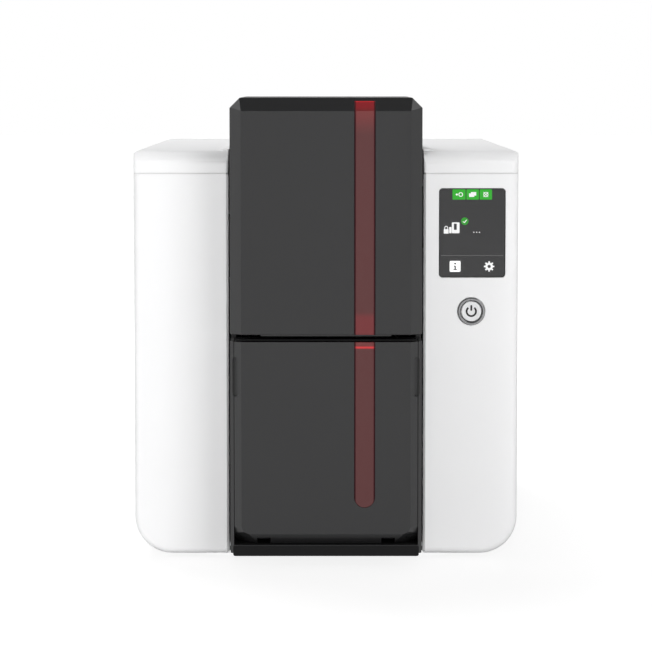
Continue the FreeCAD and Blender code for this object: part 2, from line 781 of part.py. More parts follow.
def feeder_cap(inset, rim_y):
    """The upper door's outside, or with an inset its inside."""
    half = half_tower - inset
    top = height - inset
    low = seam_top_z + inset
    near_y = face_y + inset
    bevel_deep = top_bevel_deep
    front = along_y([(-half, low, 0), (half, low, 0), (half, top - top_corner, 0),
                     (half - top_corner, top, 0), (-half + top_corner, top, 0),
                     (-half, top - top_corner, 0)], near_y, rim_y)
    plan = along_z([(-half + side_chamfer, near_y, 0), (half - side_chamfer, near_y, 0),
                    (half, near_y + side_chamfer, 0), (half, rim_y, 0), (-half, rim_y, 0),
                    (-half, near_y + side_chamfer, 0)], low, top)
    side = along_x([(near_y, low, 0), (rim_y, low, 0), (rim_y, top, 0), (near_y + bevel_deep, top, 0),
                    (near_y, top - top_bevel_tall, 0)], -half, half)
    return front.common(plan).common(side)


def output_cap(inset, rim_y):
    """The lower door's outside, or with an inset its inside."""
    half = output_half - inset
    top = seam_bottom_z - inset
    low = output_bottom_z + inset
    near_y = face_y + inset
    shoulder = side_chamfer - (half_tower - output_half)
    front = along_y([(-half, low, output_corner_radius), (half, low, output_corner_radius),
                     (half, top, 0), (-half, top, 0)], near_y, rim_y)
    plan = along_z([(-half + shoulder, near_y, 0), (half - shoulder, near_y, 0), (half, near_y + shoulder, 0),
                    (half, rim_y, 0), (-half, rim_y, 0), (-half, near_y + shoulder, 0)], low, top)
    side = along_x([(near_y, low + output_bevel, 0), (near_y + output_bevel, low, 0), (rim_y, low, 0),
                    (rim_y, top, 0), (near_y, top, 0)], -half, half)
    return front.common(plan).common(side)


def door_hinge(shell, cap, axis_y, axis_z, bottom_z):
    """Slots for the frame's arms and two bored knuckles beside each slot, kept within the cap."""
    knuckles = []
    slots = []
    for side in (-1, 1):
        inner = arm_x0 - arm_slot_gap
        outer = arm_x0 + arm_width + arm_slot_gap
        slot = block(inner, outer, face_y + black_wall, door_rim_y + overrun, bottom_z - overrun,
                     axis_z + arm_radius + arm_slot_gap)
        slots.append(slot if side > 0 else mirrored(slot))
        for x0 in (inner - knuckle_wall, outer):
            lug = along_x([(face_y + black_wall / 2, bottom_z + black_wall / 2, 0),
                           (axis_y + knuckle_radius, bottom_z + black_wall / 2, 0),
                           (axis_y + knuckle_radius, axis_z + knuckle_radius, -knuckle_corner_cut),
                           (face_y + black_wall / 2, axis_z + knuckle_radius, 0)], x0, x0 + knuckle_wall)
            lug = lug.common(cap)
            knuckles.append(lug if side > 0 else mirrored(lug))
    shell = joined(shell, *knuckles)
    bore_end = arm_x0 + arm_width + pin_reach + arm_slot_gap
    bore = bore_x(-bore_end, bore_end, axis_y, axis_z, pin_bore_radius)
    return cut(shell, bore, *slots)


def window_space(grow):
    """The upper strip's space: through the front wall and, at the top, through the bevel."""
    half = window_width / 2 + grow
    top_z = height - window_top_drop + grow
    x0 = window_x - half
    x1 = window_x + half
    front = block(x0, x1, face_y - overrun, face_y + black_wall, seam_top_z, top_z)
    bevel = block(x0, x1, face_y - overrun, window_rear_y + grow, window_bevel_z, top_z)
    return joined(front, bevel)


def feeder_door():
    """The upper door with its tongue, window slot and hinge."""
    cap = feeder_cap(0, door_rim_y)
    shell = cap.cut(feeder_cap(black_wall, door_rim_y + overrun))
    tongue = block(-tongue_half, tongue_half, face_y + tongue_setback, face_y + black_wall + tongue_setback,
                   seam_top_z - tongue_drop, seam_top_z + black_wall)
    shell = door_hinge(joined(shell, tongue), cap, feeder_axis_y, feeder_axis_z, seam_top_z)
    return cut(shell, window_space(0))


def feeder_window():
    """The upper red strip: it fills the slot, follows the bevel and has a flange behind."""
    skin = feeder_cap(0, door_rim_y).cut(feeder_cap(black_wall, door_rim_y + overrun))
    skin = skin.common(window_space(-seat_gap))
    half = window_width / 2 + window_flange
    flange = block(window_x - half, window_x + half - window_flange, face_y + black_wall,
                   face_y + black_wall + window_flange_thickness,
                   feeder_axis_z + knuckle_radius + arm_slot_gap, window_bevel_z - window_flange)
    return joined(skin, flange)


def output_door():
    """The lower door with its window slot, hinge and shallow finger scoops that leave its wall closed."""
    cap = output_cap(0, door_rim_y)
    shell = cap.cut(output_cap(black_wall, door_rim_y + overrun))
    shell = door_hinge(shell, cap, output_axis_y, output_axis_z, output_bottom_z)
    half = window_width / 2
    slot = along_y([(window_x - half, window_end_z, half), (window_x + half, window_end_z, half),
                    (window_x + half, seam_bottom_z + overrun, 0),
                    (window_x - half, seam_bottom_z + overrun, 0)], face_y - overrun, face_y + black_wall)
    scoops = [grip_slot(side).cut(output_cap(grip_scoop_depth, door_rim_y)) for side in (-1, 1)]
    return cut(shell, slot, *scoops)


def output_window():
    """The lower red strip, with its round end and a flange behind."""
    half = window_width / 2 - seat_gap
    strip = along_y([(window_x - half, window_end_z + seat_gap, half),
                     (window_x + half, window_end_z + seat_gap, half),
                     (window_x + half, seam_bottom_z, 0), (window_x - half, seam_bottom_z, 0)],
                    face_y, face_y + black_wall)
    wide = window_width / 2 + window_flange
    flange = block(window_x - wide, window_x + wide, face_y + black_wall,
                   face_y + black_wall + window_flange_thickness, window_end_z - window_flange,
                   seam_bottom_z - black_wall)
    return joined(strip, flange)


def door_pins(axis_y, axis_z):
    """The two steel pins of one door, pressed in the frame's arms."""
    pin = bar_x(arm_x0 - pin_reach, arm_x0 + arm_width + pin_reach, axis_y, axis_z, hinge_pin_radius,
                round_sides)
    return [pin, mirrored(pin)]


# Card feeder: magazine, card weight and thickness slider
deck_thickness = 2.0
hopper_top_room = 33.0
hopper_lip = 5.0
hopper_exit_tall = 3.0
roller_radius = 7.0
roller_rise = 0.8
roller_axis_z = card_top_z + roller_rise - roller_radius
shaft_radius = 2.5
bush_half = 4.2
roller_inset = 1.7
roller_play = 1.0
pick_setback = 40.7
feed_setback = 13.3
hopper_top_z = height - hopper_top_room
roller_half = hopper_half - roller_inset
pick_y = tower_rear_y - pick_setback
feed_y = tower_rear_y + feed_setback
deck_z0 = card_top_z - deck_thickness
belt_end_play = 10.0
belt_end_y = pick_y - belt_end_play
weight_thickness = 7.0
weight_gap = 0.5
weight_play = 0.5
weight_corner = 4.0
weight_grip_wide = 10.0
weight_grip_corner = 3.0
weight_grip_tall = 9.0
gauge_setback = 24.8
gauge_rail_wide = 4.0
gauge_rail_deep = 3.0
gauge_rail_rise = 16.8
gauge_rail_top_room = 24.0
gauge_rest_share = 0.2
gauge_side = 12.0
gauge_tall = 14.0
gauge_lever = 5.0
gauge_lever_tall = 4.6
gauge_y = hopper_front_y + gauge_setback
gauge_rail_z0 = card_top_z + gauge_rail_rise
gauge_rail_z1 = hopper_top_z - gauge_rail_top_room
gauge_z = gauge_rail_z0 + (gauge_rail_z1 - gauge_rail_z0) * gauge_rest_share


def roller_slot(y):
    """The opening in a card deck over one roller."""
    half = roller_radius + roller_play
    return block(-roller_half - roller_play, roller_half + roller_play, y - half, y + half,
                 deck_z0 - overrun, card_top_z + overrun)


def bush_way(y):
    """The square way through plates or hangers that takes one shaft's bushes."""
    return block(-plate_x1 - overrun, plate_x1 + overrun, y - bush_half, y + bush_half,
                 roller_axis_z - bush_half, roller_axis_z + bush_half)


def feeder_hopper():
    """The magazine: deck, two side walls, back wall with a card gate, and hangers for the pick shaft."""
    deck = block(-half_tower + tower_wall, half_tower - tower_wall, hopper_front_y, hopper_rear_y,
                 deck_z0, card_top_z)
    outer = block(-hopper_outer, hopper_outer, hopper_front_y, hopper_rear_y, card_top_z, hopper_top_z)
    inner = block(-hopper_half, hopper_half, hopper_front_y + hopper_wall, hopper_rear_y - hopper_wall,
                  card_top_z, hopper_top_z)
    mouth = block(-hopper_half + hopper_lip, hopper_half - hopper_lip, hopper_front_y - overrun,
                  hopper_front_y + 2 * hopper_wall, card_top_z, hopper_top_z)
    gate = block(-hopper_half, hopper_half, hopper_rear_y - 2 * hopper_wall, tower_rear_y,
                 card_top_z, card_top_z + hopper_exit_tall)
    hanger = block(plate_x0, plate_x1, pick_y - 2 * bush_half, pick_y + 2 * bush_half,
                   roller_axis_z - bush_half - hopper_wall, deck_z0)
    rail = block(hopper_outer, hopper_outer + gauge_rail_deep,
                 gauge_y - gauge_rail_wide / 2, gauge_y + gauge_rail_wide / 2,
                 gauge_rail_z0, gauge_rail_z1)
    body = joined(deck, cut(outer, inner, mouth, gate), hanger, mirrored(hanger), rail)
    belt_way = block(-belt_slot_x1 - seat_gap, -plate_x1, belt_end_y, tower_rear_y, deck_z0 - overrun,
                     card_top_z + overrun)
    return cut(body, roller_slot(pick_y), belt_way, bush_way(pick_y))


def card_weight():
    """The sliding weight that presses the cards on the pick roller, with its grip."""
    z0 = card_top_z + roller_rise + weight_gap
    x = hopper_half - weight_play
    y0 = hopper_front_y + hopper_wall * 2 + weight_play
    y1 = hopper_rear_y - hopper_wall - weight_play
    plate = along_z(frame_of(-x, x, y0, y1, -weight_corner), z0, z0 + weight_thickness)
    grip_y = y0 + weight_corner
    top = z0 + weight_thickness
    grip = along_z(frame_of(-x / 2, x / 2, grip_y, grip_y + weight_grip_wide, -weight_grip_corner),
                   top, top + weight_grip_tall)
    return joined(plate, grip)


def gauge_slider():
    """The card thickness slider, a block that straddles its rail."""
    x0 = hopper_outer + body_gap
    body = block(x0, x0 + gauge_rail_deep + hopper_wall, gauge_y - gauge_side / 2, gauge_y + gauge_side / 2,
                 gauge_z, gauge_z + gauge_tall)
    lever_x = x0 + gauge_rail_deep + hopper_wall
    lever_z = gauge_z + (gauge_tall - gauge_lever_tall) / 2
    lever = block(lever_x, lever_x + gauge_lever, gauge_y - gauge_side / 2, gauge_y + gauge_side / 2,
                  lever_z, lever_z + gauge_lever_tall)
    channel = block(x0 - overrun, hopper_outer + gauge_rail_deep + body_gap,
                    gauge_y - gauge_rail_wide / 2 - body_gap, gauge_y + gauge_rail_wide / 2 + body_gap,
                    gauge_z - overrun, gauge_z + gauge_tall + overrun)
    return cut(joined(body, lever), channel)


# Card output: a tray with a sloped floor in the lower bay
tray_wall = 2.0
tray_side_gap = 7.5
tray_front_rise = 12.1
tray_slope_rise = 16.0
tray_half = half_tower - tower_wall - tray_side_gap
tray_front_z = tower_floor_z1 + tray_front_rise
tray_rear_z = tray_front_z + tray_slope_rise
tray_side_tall = 18.0
tray_clearance = 2.0


def output_tray():
    """The tray: a sloped floor on side walls that stand on the tower's floor."""
    y0 = tower_front_y + tower_wall + tray_clearance
    y1 = tower_rear_y - tower_wall
    outline_side = [(y0, tower_floor_z1, 0), (y1, tower_floor_z1, 0), (y1, tray_rear_z + tray_side_tall, 0),
                    (y0, tray_front_z + tray_side_tall / 2, 0)]
    wall = along_x(outline_side, tray_half, tray_half + tray_wall)
    floor = along_x([(y0, tray_front_z - tray_wall, 0), (y1, tray_rear_z - tray_wall, 0),
                     (y1, tray_rear_z, 0), (y0, tray_front_z, 0)], -tray_half, tray_half)
    return joined(wall, mirrored(wall), floor)


# Inner frame plates, card guide, shafts and their bushes
plate_front_gap = 2.0
plate_above_spool = 14.0
plate_foot = 12.0
plate_corner = 8.0
supply_setback = 20.3
supply_rise = 34.8
takeup_rise = 31.8
plate_y0 = tower_rear_y + plate_front_gap
supply_y = tower_rear_y + supply_setback
supply_z = card_top_z + supply_rise
takeup_z = card_top_z + takeup_rise
plate_top_z = supply_z + plate_above_spool
spool_pin_radius = 4.0
spool_slot_gap = 0.3
spool_slot_cut = 2.4
pinch_radius = 5.0
pinch_shaft_radius = 2.0
card_thick_gap = 0.9
pinch_z = card_top_z + roller_rise + card_thick_gap + pinch_radius
cleaner_share = 0.4
cleaner_y = feed_y + (platen_y - feed_y) * cleaner_share
gear_module = 1.0
gear_teeth = 45
pinion_teeth = 15
pressure_angle = math.radians(20)
tooth_thinning = 0.15
gear_root_gap = 0.25
gear_flank_shares = (0, 1)
pinion_flank_shares = (0, 0.5, 1)
gear_rim_wall = 4.5
gear_hub_radius = 7.0
gear_width = 4.0
motor_radius = 18.0
motor_long = 28.0
motor_edge_chamfer = 2.0
motor_ear_reach = 9.0
motor_ear_half = 4.5
motor_socket_deep = 7.0
motor_shaft_radius = 1.5
motor_boss_radius = 6.0
centre_distance = gear_module * (gear_teeth + pinion_teeth) / 2
motor_z = roller_axis_z - centre_distance
plate_hole_corner = 6.0


def frame_plate(side):
    """A steel side plate with a turned foot, spool slots, bush holes and a lightening cut."""
    plate = along_x([(plate_y0, base_z1, 0), (plate_y1, base_z1, 0), (plate_y1, plate_top_z, -plate_corner),
                     (plate_y0, plate_top_z, -plate_corner)], plate_x0, plate_x1)
    foot = block(plate_x0, plate_x1 + plate_foot, plate_y0 + plate_foot, plate_y1 - plate_foot, base_z1,
                 base_z1 + plate_thickness)
    plate = joined(plate, foot)
    tools = []
    for y in (feed_y, platen_y, exit_y):
        tools.append(bush_way(y))
    for y in (feed_y, cleaner_y):
        tools.append(bore_x(0, half_tower, y, pinch_z, pinch_shaft_radius + running_gap))
    for y, z in ((supply_y, supply_z), (takeup_y, takeup_z)):
        reach = spool_pin_radius + spool_slot_gap
        tools.append(along_x([(y - reach, z - reach, -spool_slot_cut),
                              (y + reach, z - reach, -spool_slot_cut),
                              (y + reach, plate_top_z + overrun, 0), (y - reach, plate_top_z + overrun, 0)],
                             0, half_tower))
    tools.append(along_x(frame_of(exit_y - 2 * bush_half, plate_y1 - plate_corner * 2,
                                  base_z1 + plate_foot * 2, motor_z, -plate_hole_corner), 0, half_tower))
    if side < 0:
        tools.append(bar_x(0, half_tower, platen_y, motor_z, motor_boss_radius + seat_gap))
    plate = cut(plate, *tools)
    return plate if side > 0 else mirrored(plate)


guide_rail_tall = 4.0
guide_rail_wall = 1.5


def card_guide():
    """The card path behind the magazine: a deck between the plates with side rails and roller slots."""
    deck = block(-plate_x0, plate_x0, plate_y0, plate_y1, deck_z0, card_top_z)
    tongue = block(-card_slot_half - guide_rail_wall, card_slot_half + guide_rail_wall, plate_y1, cover_end_y,
                   deck_z0, card_top_z)
    rail = block(hopper_half, hopper_half + guide_rail_wall, exit_y + 2 * roller_radius, cover_end_y,
                 card_top_z, card_top_z + guide_rail_tall)
    guide = joined(deck, tongue, rail, mirrored(rail))
    return cut(guide, *[roller_slot(y) for y in (feed_y, platen_y, exit_y)])


def roller_bushes():
    """The plain bearings of the four driven shafts, square outside so that they can't turn."""
    bushes = []
    for y in (pick_y, feed_y, platen_y, exit_y):
        bush = block(plate_x0, plate_x1, y - bush_half, y + bush_half, roller_axis_z - bush_half,
                     roller_axis_z + bush_half)
        bush = cut(bush, bore_x(0, half_tower, y, roller_axis_z, shaft_radius + running_gap))
        bushes.extend([bush, mirrored(bush)])
    return bushes


# Driven shafts: each has a steel shaft, a rubber sleeve and a toothed pulley
pulley_radius = 6.0
pulley_gap = 2.0
pulley_width = 4.5
gear_gap = 3.5
pulley_x0 = plate_x1 + pulley_gap
gear_x0 = pulley_x0 + pulley_width + gear_gap
belt_gap = 0.3
belt_thickness = 1.2
belt_inset = 0.4
shaft_end_gap = 0.4
shaft_end_right = plate_x1 + shaft_end_gap
shaft_end_left = pulley_x0 + pulley_width + shaft_end_gap
gear_shaft_end = gear_x0 + gear_width + shaft_end_gap
pulley_teeth = 12
tooth_deep = 0.6
tooth_tip_share = 0.4
tooth_root_share = 0.6


def roller_shaft(y):
    """A steel shaft; the platen's goes on to the large gear."""
    left_end = gear_shaft_end if y == platen_y else shaft_end_left
    return bar_x(-left_end, shaft_end_right, y, roller_axis_z, shaft_radius, round_sides)


def roller_sleeve(y):
    """A rubber sleeve on its shaft."""
    sleeve = bar_x(-roller_half, roller_half, y, roller_axis_z, roller_radius, round_sides)
    return cut(sleeve, bore_x(-half_tower, half_tower, y, roller_axis_z, shaft_radius))


def pulley(y):
    """A toothed pulley with straight-sided teeth."""
    step = 2 * math.pi / pulley_teeth
    root = pulley_radius - tooth_deep
    corners = []
    for number in range(pulley_teeth):
        middle = step * number
        for radius, share in ((root, -tooth_root_share), (pulley_radius, -tooth_tip_share),
                              (pulley_radius, tooth_tip_share), (root, tooth_root_share)):
            corners.append(polar(y, roller_axis_z, radius, middle + step * share / 2))
    wheel = along_x(corners, -pulley_x0 - pulley_width, -pulley_x0)
    return cut(wheel, bore_x(-half_tower, half_tower, y, roller_axis_z, shaft_radius))


def drive_belt():
    """The belt: one loop round the four pulleys."""
    inner = pulley_radius + belt_gap
    outer = inner + belt_thickness
    x0 = -pulley_x0 - pulley_width + belt_inset
    x1 = -pulley_x0 - belt_inset

    def loop(radius):
        ends = many_sided(0, roller_axis_z, radius, round_sides)
        return along_x([(y + (exit_y if y > 0 else pick_y), z, sharp) for y, z, sharp in ends], x0, x1)

    return loop(outer).cut(loop(inner))


def involute(angle):
    """The involute function of an angle."""
    return math.tan(angle) - angle


def gear_solid(teeth, flank_shares, centre_z, first_tooth, x0, x1, bore):
    """A spur gear whose flanks follow the involute, its axis along x at the platen's place."""
    pitch_radius = gear_module * teeth / 2
    base_radius = pitch_radius * math.cos(pressure_angle)
    tip_radius = pitch_radius + gear_module
    root_radius = pitch_radius - gear_module - gear_root_gap
    flank_radii = [max(root_radius, base_radius) + (tip_radius - max(root_radius, base_radius)) * share
                   for share in flank_shares]
    flank_radii[0] = root_radius
    half_at_pitch = math.pi / (2 * teeth) - tooth_thinning / (2 * pitch_radius)

    def half_angle(radius):
        return half_at_pitch + involute(pressure_angle) - involute(math.acos(min(1, base_radius / radius)))

    corners = []
    for number in range(teeth):
        middle = first_tooth + 2 * math.pi / teeth * number
        for radius in flank_radii:
            corners.append(polar(platen_y, centre_z, radius, middle - half_angle(radius)))
        for radius in reversed(flank_radii):
            corners.append(polar(platen_y, centre_z, radius, middle + half_angle(radius)))
    return cut(along_x(corners, x0, x1), bore_x(x0 - overrun, x1 + overrun, platen_y, centre_z, bore))


def platen_gear():
    """The large gear on the platen shaft, a tooth pointing straight down."""
    gear = gear_solid(gear_teeth, gear_flank_shares, roller_axis_z, -math.pi / 2, -gear_x0 - gear_width,
                      -gear_x0, shaft_radius)
    web = cut(bar_x(-gear_x0 - gear_width - overrun, -gear_x0 - gear_width / 2, platen_y, roller_axis_z,
                    gear_module * gear_teeth / 2 - gear_rim_wall, round_sides),
              bar_x(-half_width, 0, platen_y, roller_axis_z, gear_hub_radius))
    return cut(gear, web)


def motor_pinion():
    """The pinion with its shaft stub, a gap between teeth pointing straight up."""
    return gear_solid(pinion_teeth, pinion_flank_shares, motor_z, math.pi / 2 + math.pi / pinion_teeth,
                      -gear_x0 - gear_width, -gear_x0, motor_shaft_radius)


def motor_shaft():
    """The motor's turning shaft."""
    return bar_x(-gear_x0 - gear_width, -plate_x0 + motor_socket_deep, platen_y, motor_z,
                 motor_shaft_radius, round_sides)


def drive_motor():
    """The stepping motor: round can, flange on the left plate and a boss in its hole."""
    end_x = -plate_x0 + motor_long
    can = bar_x(-plate_x0, end_x, platen_y, motor_z, motor_radius, round_sides)
    rim = edges_where(can, lambda b: near(b.XMin, end_x) and near(b.XMax, end_x))
    can = can.makeChamfer(motor_edge_chamfer, rim)
    boss = bar_x(-plate_x1, -plate_x0, platen_y, motor_z, motor_boss_radius)
    reach = motor_radius + motor_ear_reach
    flange = block(-plate_x0, -plate_x0 + plate_thickness, platen_y - reach, platen_y + reach,
                   motor_z - motor_ear_half, motor_z + motor_ear_half)
    way = bore_x(-plate_x1 - overrun, -plate_x0 + motor_socket_deep + body_gap, platen_y, motor_z,
                 motor_shaft_radius + running_gap)
    return cut(joined(can, boss, flange), way)


def free_roller(y):
    """A free roller over the card path with its thin shaft, in one piece."""
    sleeve = bar_x(-roller_half, roller_half, y, pinch_z, pinch_radius, round_sides)
    shaft = bar_x(-plate_x1 - body_gap, plate_x1 + body_gap, y, pinch_z, pinch_shaft_radius)
    return joined(sleeve, shaft)


# Ribbon: two spools and the film between them
supply_radius = 16.5
takeup_radius = 14.0
spool_end_gap = 5.0
core_radius = 9.0
film_margin = 3.0
spool_half = plate_x0 - spool_end_gap
film_half = spool_half - film_margin
film_thickness = 0.3
film_gap = 0.4
film_head_run = 15.0
film_rise = 1.6
film_z = card_top_z + roller_rise + film_rise


def spool(y, z, wound_radius):
    """A ribbon spool: core, wound film, end flanges and stub ends in the plates' slots."""
    core = bar_x(-spool_half, spool_half, y, z, core_radius)
    wound = bar_x(-film_half, film_half, y, z, wound_radius, round_sides)
    stub = bar_x(-plate_x1 - plate_thickness, plate_x1 + plate_thickness, y, z, spool_pin_radius)
    return joined(core, wound, stub)


def ribbon_film():
    """The film from one spool under the head to the other."""
    supply_edge = supply_y + supply_radius + film_gap
    takeup_edge = takeup_y - takeup_radius - film_gap
    front_y = platen_y - film_head_run
    end_y = platen_y + film_head_run
    under = film_z - film_thickness
    corners = [(supply_edge, supply_z, 0), (front_y, film_z, 0), (end_y, film_z, 0),
               (takeup_edge, takeup_z, 0), (takeup_edge, takeup_z - 2 * film_thickness, 0),
               (end_y + film_thickness / 2, under, 0),
               (front_y - film_thickness / 2, under, 0), (supply_edge, supply_z - 2 * film_thickness, 0)]
    return along_x(corners, -film_half, film_half)


# Print head, hung from the lid
head_front = 6.0
head_rear = 8.0
head_tall = 5.0
head_gap = 0.4
head_nose_half = 1.7
head_nose_radius = 0.5
sink_tall = 24.0
sink_fin_count = 7
sink_fin_deep = 7.0
sink_slot_share = 0.5
head_half = film_half
bracket_half = spool_half
bracket_thickness = 2.0
bracket_flange = 22.0
bracket_window_margin = 10.0
head_z0 = film_z + head_gap
head_z1 = head_z0 + head_tall
sink_z1 = head_z1 + sink_tall
lid_inner_z = lid_top_z - lid_wall
bracket_y0 = platen_y + head_rear


def print_head():
    """The thermal head: a block with a narrow heater nose below."""
    nose = head_nose_half
    return along_x([(platen_y - nose, head_z0, head_nose_radius),
                    (platen_y + nose, head_z0, head_nose_radius),
                    (platen_y + head_rear, head_z0 + nose, 0), (platen_y + head_rear, head_z1, 0),
                    (platen_y - head_front, head_z1, 0), (platen_y - head_front, head_z0 + nose, 0)],
                   -head_half, head_half)


def head_heatsink():
    """The finned aluminium block on the head."""
    blank = block(-head_half, head_half, platen_y - head_front, platen_y + head_rear, head_z1, sink_z1)
    pitch = 2 * head_half / sink_fin_count
    tools = []
    for number in range(sink_fin_count):
        middle = -head_half + pitch * (2 * number + 1) / 2
        half = pitch * sink_slot_share / 2
        front_y = platen_y - head_front
        tools.append(block(middle - half, middle + half, front_y - overrun, front_y + sink_fin_deep,
                           head_z1 + bracket_thickness, sink_z1 + overrun))
    return cut(blank, *tools)


def head_bracket():
    """The steel bracket: a window plate with a flange under the lid."""
    plate = block(-bracket_half, bracket_half, bracket_y0, bracket_y0 + bracket_thickness,
                  head_z1, lid_inner_z)
    flange = block(-bracket_half, bracket_half, bracket_y0, bracket_y0 + bracket_flange,
                   lid_inner_z - bracket_thickness, lid_inner_z)
    window = block(-bracket_half + bracket_window_margin, bracket_half - bracket_window_margin,
                   bracket_y0 - overrun, bracket_y0 + bracket_thickness + overrun,
                   sink_z1 + bracket_window_margin / 2, lid_inner_z - bracket_window_margin)
    return cut(joined(plate, flange), window)


# Fan behind the rear vents
fan_bore_radius = 18.0
fan_hub_radius = 8.0
fan_pin_radius = 1.5
fan_blade_count = 7
fan_blade_radius = 16.8
fan_blade_thick = 1.0
fan_blade_angle = 35.0
fan_back = 1.5
fan_strut = 2.4
fan_blade_root = 5.0
fan_y1 = cover_end_y
fan_y0 = fan_y1 - fan_thick


def fan_frame():
    """The fan's square frame with struts, hub plate and pin."""
    half = fan_side / 2
    frame = block(fan_x - half, fan_x + half, fan_y0, fan_y1, fan_z - half, fan_z + half)
    frame = cut(frame, bar_y(fan_y0 - overrun, fan_y1 + overrun, fan_x, fan_z, fan_bore_radius, round_sides))
    hub = bar_y(fan_y0, fan_y0 + fan_back, fan_x, fan_z, fan_hub_radius)
    struts = [block(fan_x - fan_bore_radius - fan_back, fan_x + fan_bore_radius + fan_back, fan_y0,
                    fan_y0 + fan_back, fan_z - fan_strut / 2, fan_z + fan_strut / 2),
              block(fan_x - fan_strut / 2, fan_x + fan_strut / 2, fan_y0, fan_y0 + fan_back,
                    fan_z - fan_bore_radius - fan_back, fan_z + fan_bore_radius + fan_back)]
    pin = bar_y(fan_y0, fan_y1 - fan_back * 2, fan_x, fan_z, fan_pin_radius)
    return joined(frame, hub, pin, *struts)


def fan_rotor():
    """The rotor: a hub with angled blades."""
    y0 = fan_y0 + fan_back + body_gap
    y1 = fan_y1 - fan_back
    hub = bar_y(y0, y1, fan_x, fan_z, fan_hub_radius, 2 * fan_blade_count)
    blades = []
    middle_y = (y0 + y1) / 2
    half_deep = (y1 - y0) / 2
    turn = 360 / fan_blade_count
    for number in range(fan_blade_count):
        blade = block(fan_x - fan_blade_thick / 2, fan_x + fan_blade_thick / 2, middle_y - half_deep,
                      middle_y + half_deep, fan_z + fan_blade_root, fan_z + fan_blade_radius)
        blade.rotate(Vector(fan_x, middle_y, fan_z), up, fan_blade_angle)
        blade.rotate(Vector(fan_x, middle_y, fan_z), back, turn * number)
        blades.append(blade)
    bore = rod_y(y0 - overrun, y1 - fan_back, fan_x, fan_z, fan_pin_radius + running_gap)
    return cut(joined(hub, *blades), bore)


# Main board and its sockets
socket_wall = 1.0
socket_setback = 1.0
socket_front_y = rear_y - socket_setback
ethernet_cavity_deep = 12.0
ethernet_cavity_width = 11.8
ethernet_cavity_tall = 7.0
ethernet_key_half = 2.0
usb_cavity_width = 8.4
usb_cavity_tall = 7.8
usb_cavity_deep = 9.0
usb_cavity_corner = 2.0
usb_tongue_long = 4.6
usb_tongue_half_width = 2.1
usb_tongue_half_tall = 1.3
jack_bore_radius = 3.2
jack_bore_deep = 9.8
jack_pin_radius = 1.0
chip_shares = (0.25, 0.5)
chip_side = 16.0
chip_tall = 1.4


def main_board():
    """The controller board on its four stands, with two large chips."""
    board = block(main_board_x0, main_board_x1, main_board_y0, main_board_y1, main_board_z0, board_top_z)
    chips = []
    for share in chip_shares:
        y = main_board_y0 + (main_board_y1 - main_board_y0) * share
        x = (main_board_x0 + main_board_x1) / 2
        chips.append(block(x - chip_side / 2, x + chip_side / 2, y - chip_side / 2, y + chip_side / 2,
                           board_top_z, board_top_z + chip_tall))
    return joined(board, *chips)


def socket_block(x, wide, tall, long_y):
    """The outside of a socket that stands on the board."""
    return block(x - wide / 2, x + wide / 2, socket_front_y - long_y, socket_front_y, board_top_z,
                 board_top_z + tall)


def ethernet_socket():
    """The network socket with its stepped mouth."""
    middle = board_top_z + ethernet_tall / 2
    mouth = block(ethernet_x - ethernet_cavity_width / 2, ethernet_x + ethernet_cavity_width / 2,
                  socket_front_y - ethernet_cavity_deep, socket_front_y + overrun,
                  middle - ethernet_cavity_tall / 2, middle + ethernet_cavity_tall / 2)
    key = block(ethernet_x - ethernet_key_half, ethernet_x + ethernet_key_half,
                socket_front_y - ethernet_cavity_deep, socket_front_y + overrun,
                middle - ethernet_cavity_tall / 2 - socket_wall, middle)
    return cut(socket_block(ethernet_x, ethernet_width, ethernet_tall, ethernet_depth), mouth, key)


def usb_socket():
    """The square data socket with its tongue."""
    middle = board_top_z + usb_tall / 2
    half_wide = usb_cavity_width / 2
    half_tall = usb_cavity_tall / 2
    corner = usb_cavity_corner
    rear_end = socket_front_y - usb_cavity_deep
    mouth = along_y([(usb_x - half_wide, middle - half_tall, 0), (usb_x + half_wide, middle - half_tall, 0),
                     (usb_x + half_wide, middle + half_tall - corner, 0),
                     (usb_x + half_wide - corner, middle + half_tall, 0),
                     (usb_x - half_wide + corner, middle + half_tall, 0),
                     (usb_x - half_wide, middle + half_tall - corner, 0)], rear_end, socket_front_y + overrun)
    tongue = block(usb_x - usb_tongue_half_width, usb_x + usb_tongue_half_width, rear_end,
                   rear_end + usb_tongue_long, middle - usb_tongue_half_tall, middle + usb_tongue_half_tall)
    return joined(cut(socket_block(usb_x, usb_width, usb_tall, usb_depth), mouth), tongue)


def power_socket():
    """The round low-voltage inlet with its centre pin."""
    middle = board_top_z + jack_tall / 2
    rear_end = socket_front_y - jack_bore_deep
    bore = bar_y(rear_end, socket_front_y + overrun, jack_x, middle, jack_bore_radius)
    pin = bar_y(rear_end, socket_front_y - socket_wall, jack_x, middle, jack_pin_radius)
    return joined(cut(socket_block(jack_x, jack_width, jack_tall, jack_depth), bore), pin)


# All nodes
save("left_cover", left_cover())
save("right_cover", right_cover())
save("screen_glass", screen_glass())
save("screen_module", screen_module())
save("power_ring", power_ring())
save("power_button", power_button())
save("panel_board", panel_board())
save("base_plate", base_plate())
save("rubber_feet", *rubber_feet())
save("rear_panel", rear_panel())
save("rear_screws", *rear_screws())
save("lid_hinge_pins", *lid_hinge_pins())
save("lid_shell", lid_shell())
save("tower_frame", tower_frame())
save("feeder_door", feeder_door())
save("feeder_window", feeder_window())
save("output_door", output_door())
save("output_window", output_window())
save("feeder_hinge_pins", *door_pins(feeder_axis_y, feeder_axis_z))
save("output_hinge_pins", *door_pins(output_axis_y, output_axis_z))
save("feeder_hopper", feeder_hopper())
save("card_weight", card_weight())
save("gauge_slider", gauge_slider())
save("output_tray", output_tray())
save("frame_left", frame_plate(-1))
save("frame_right", frame_plate(1))
save("card_guide", card_guide())
save("roller_bushes", *roller_bushes())
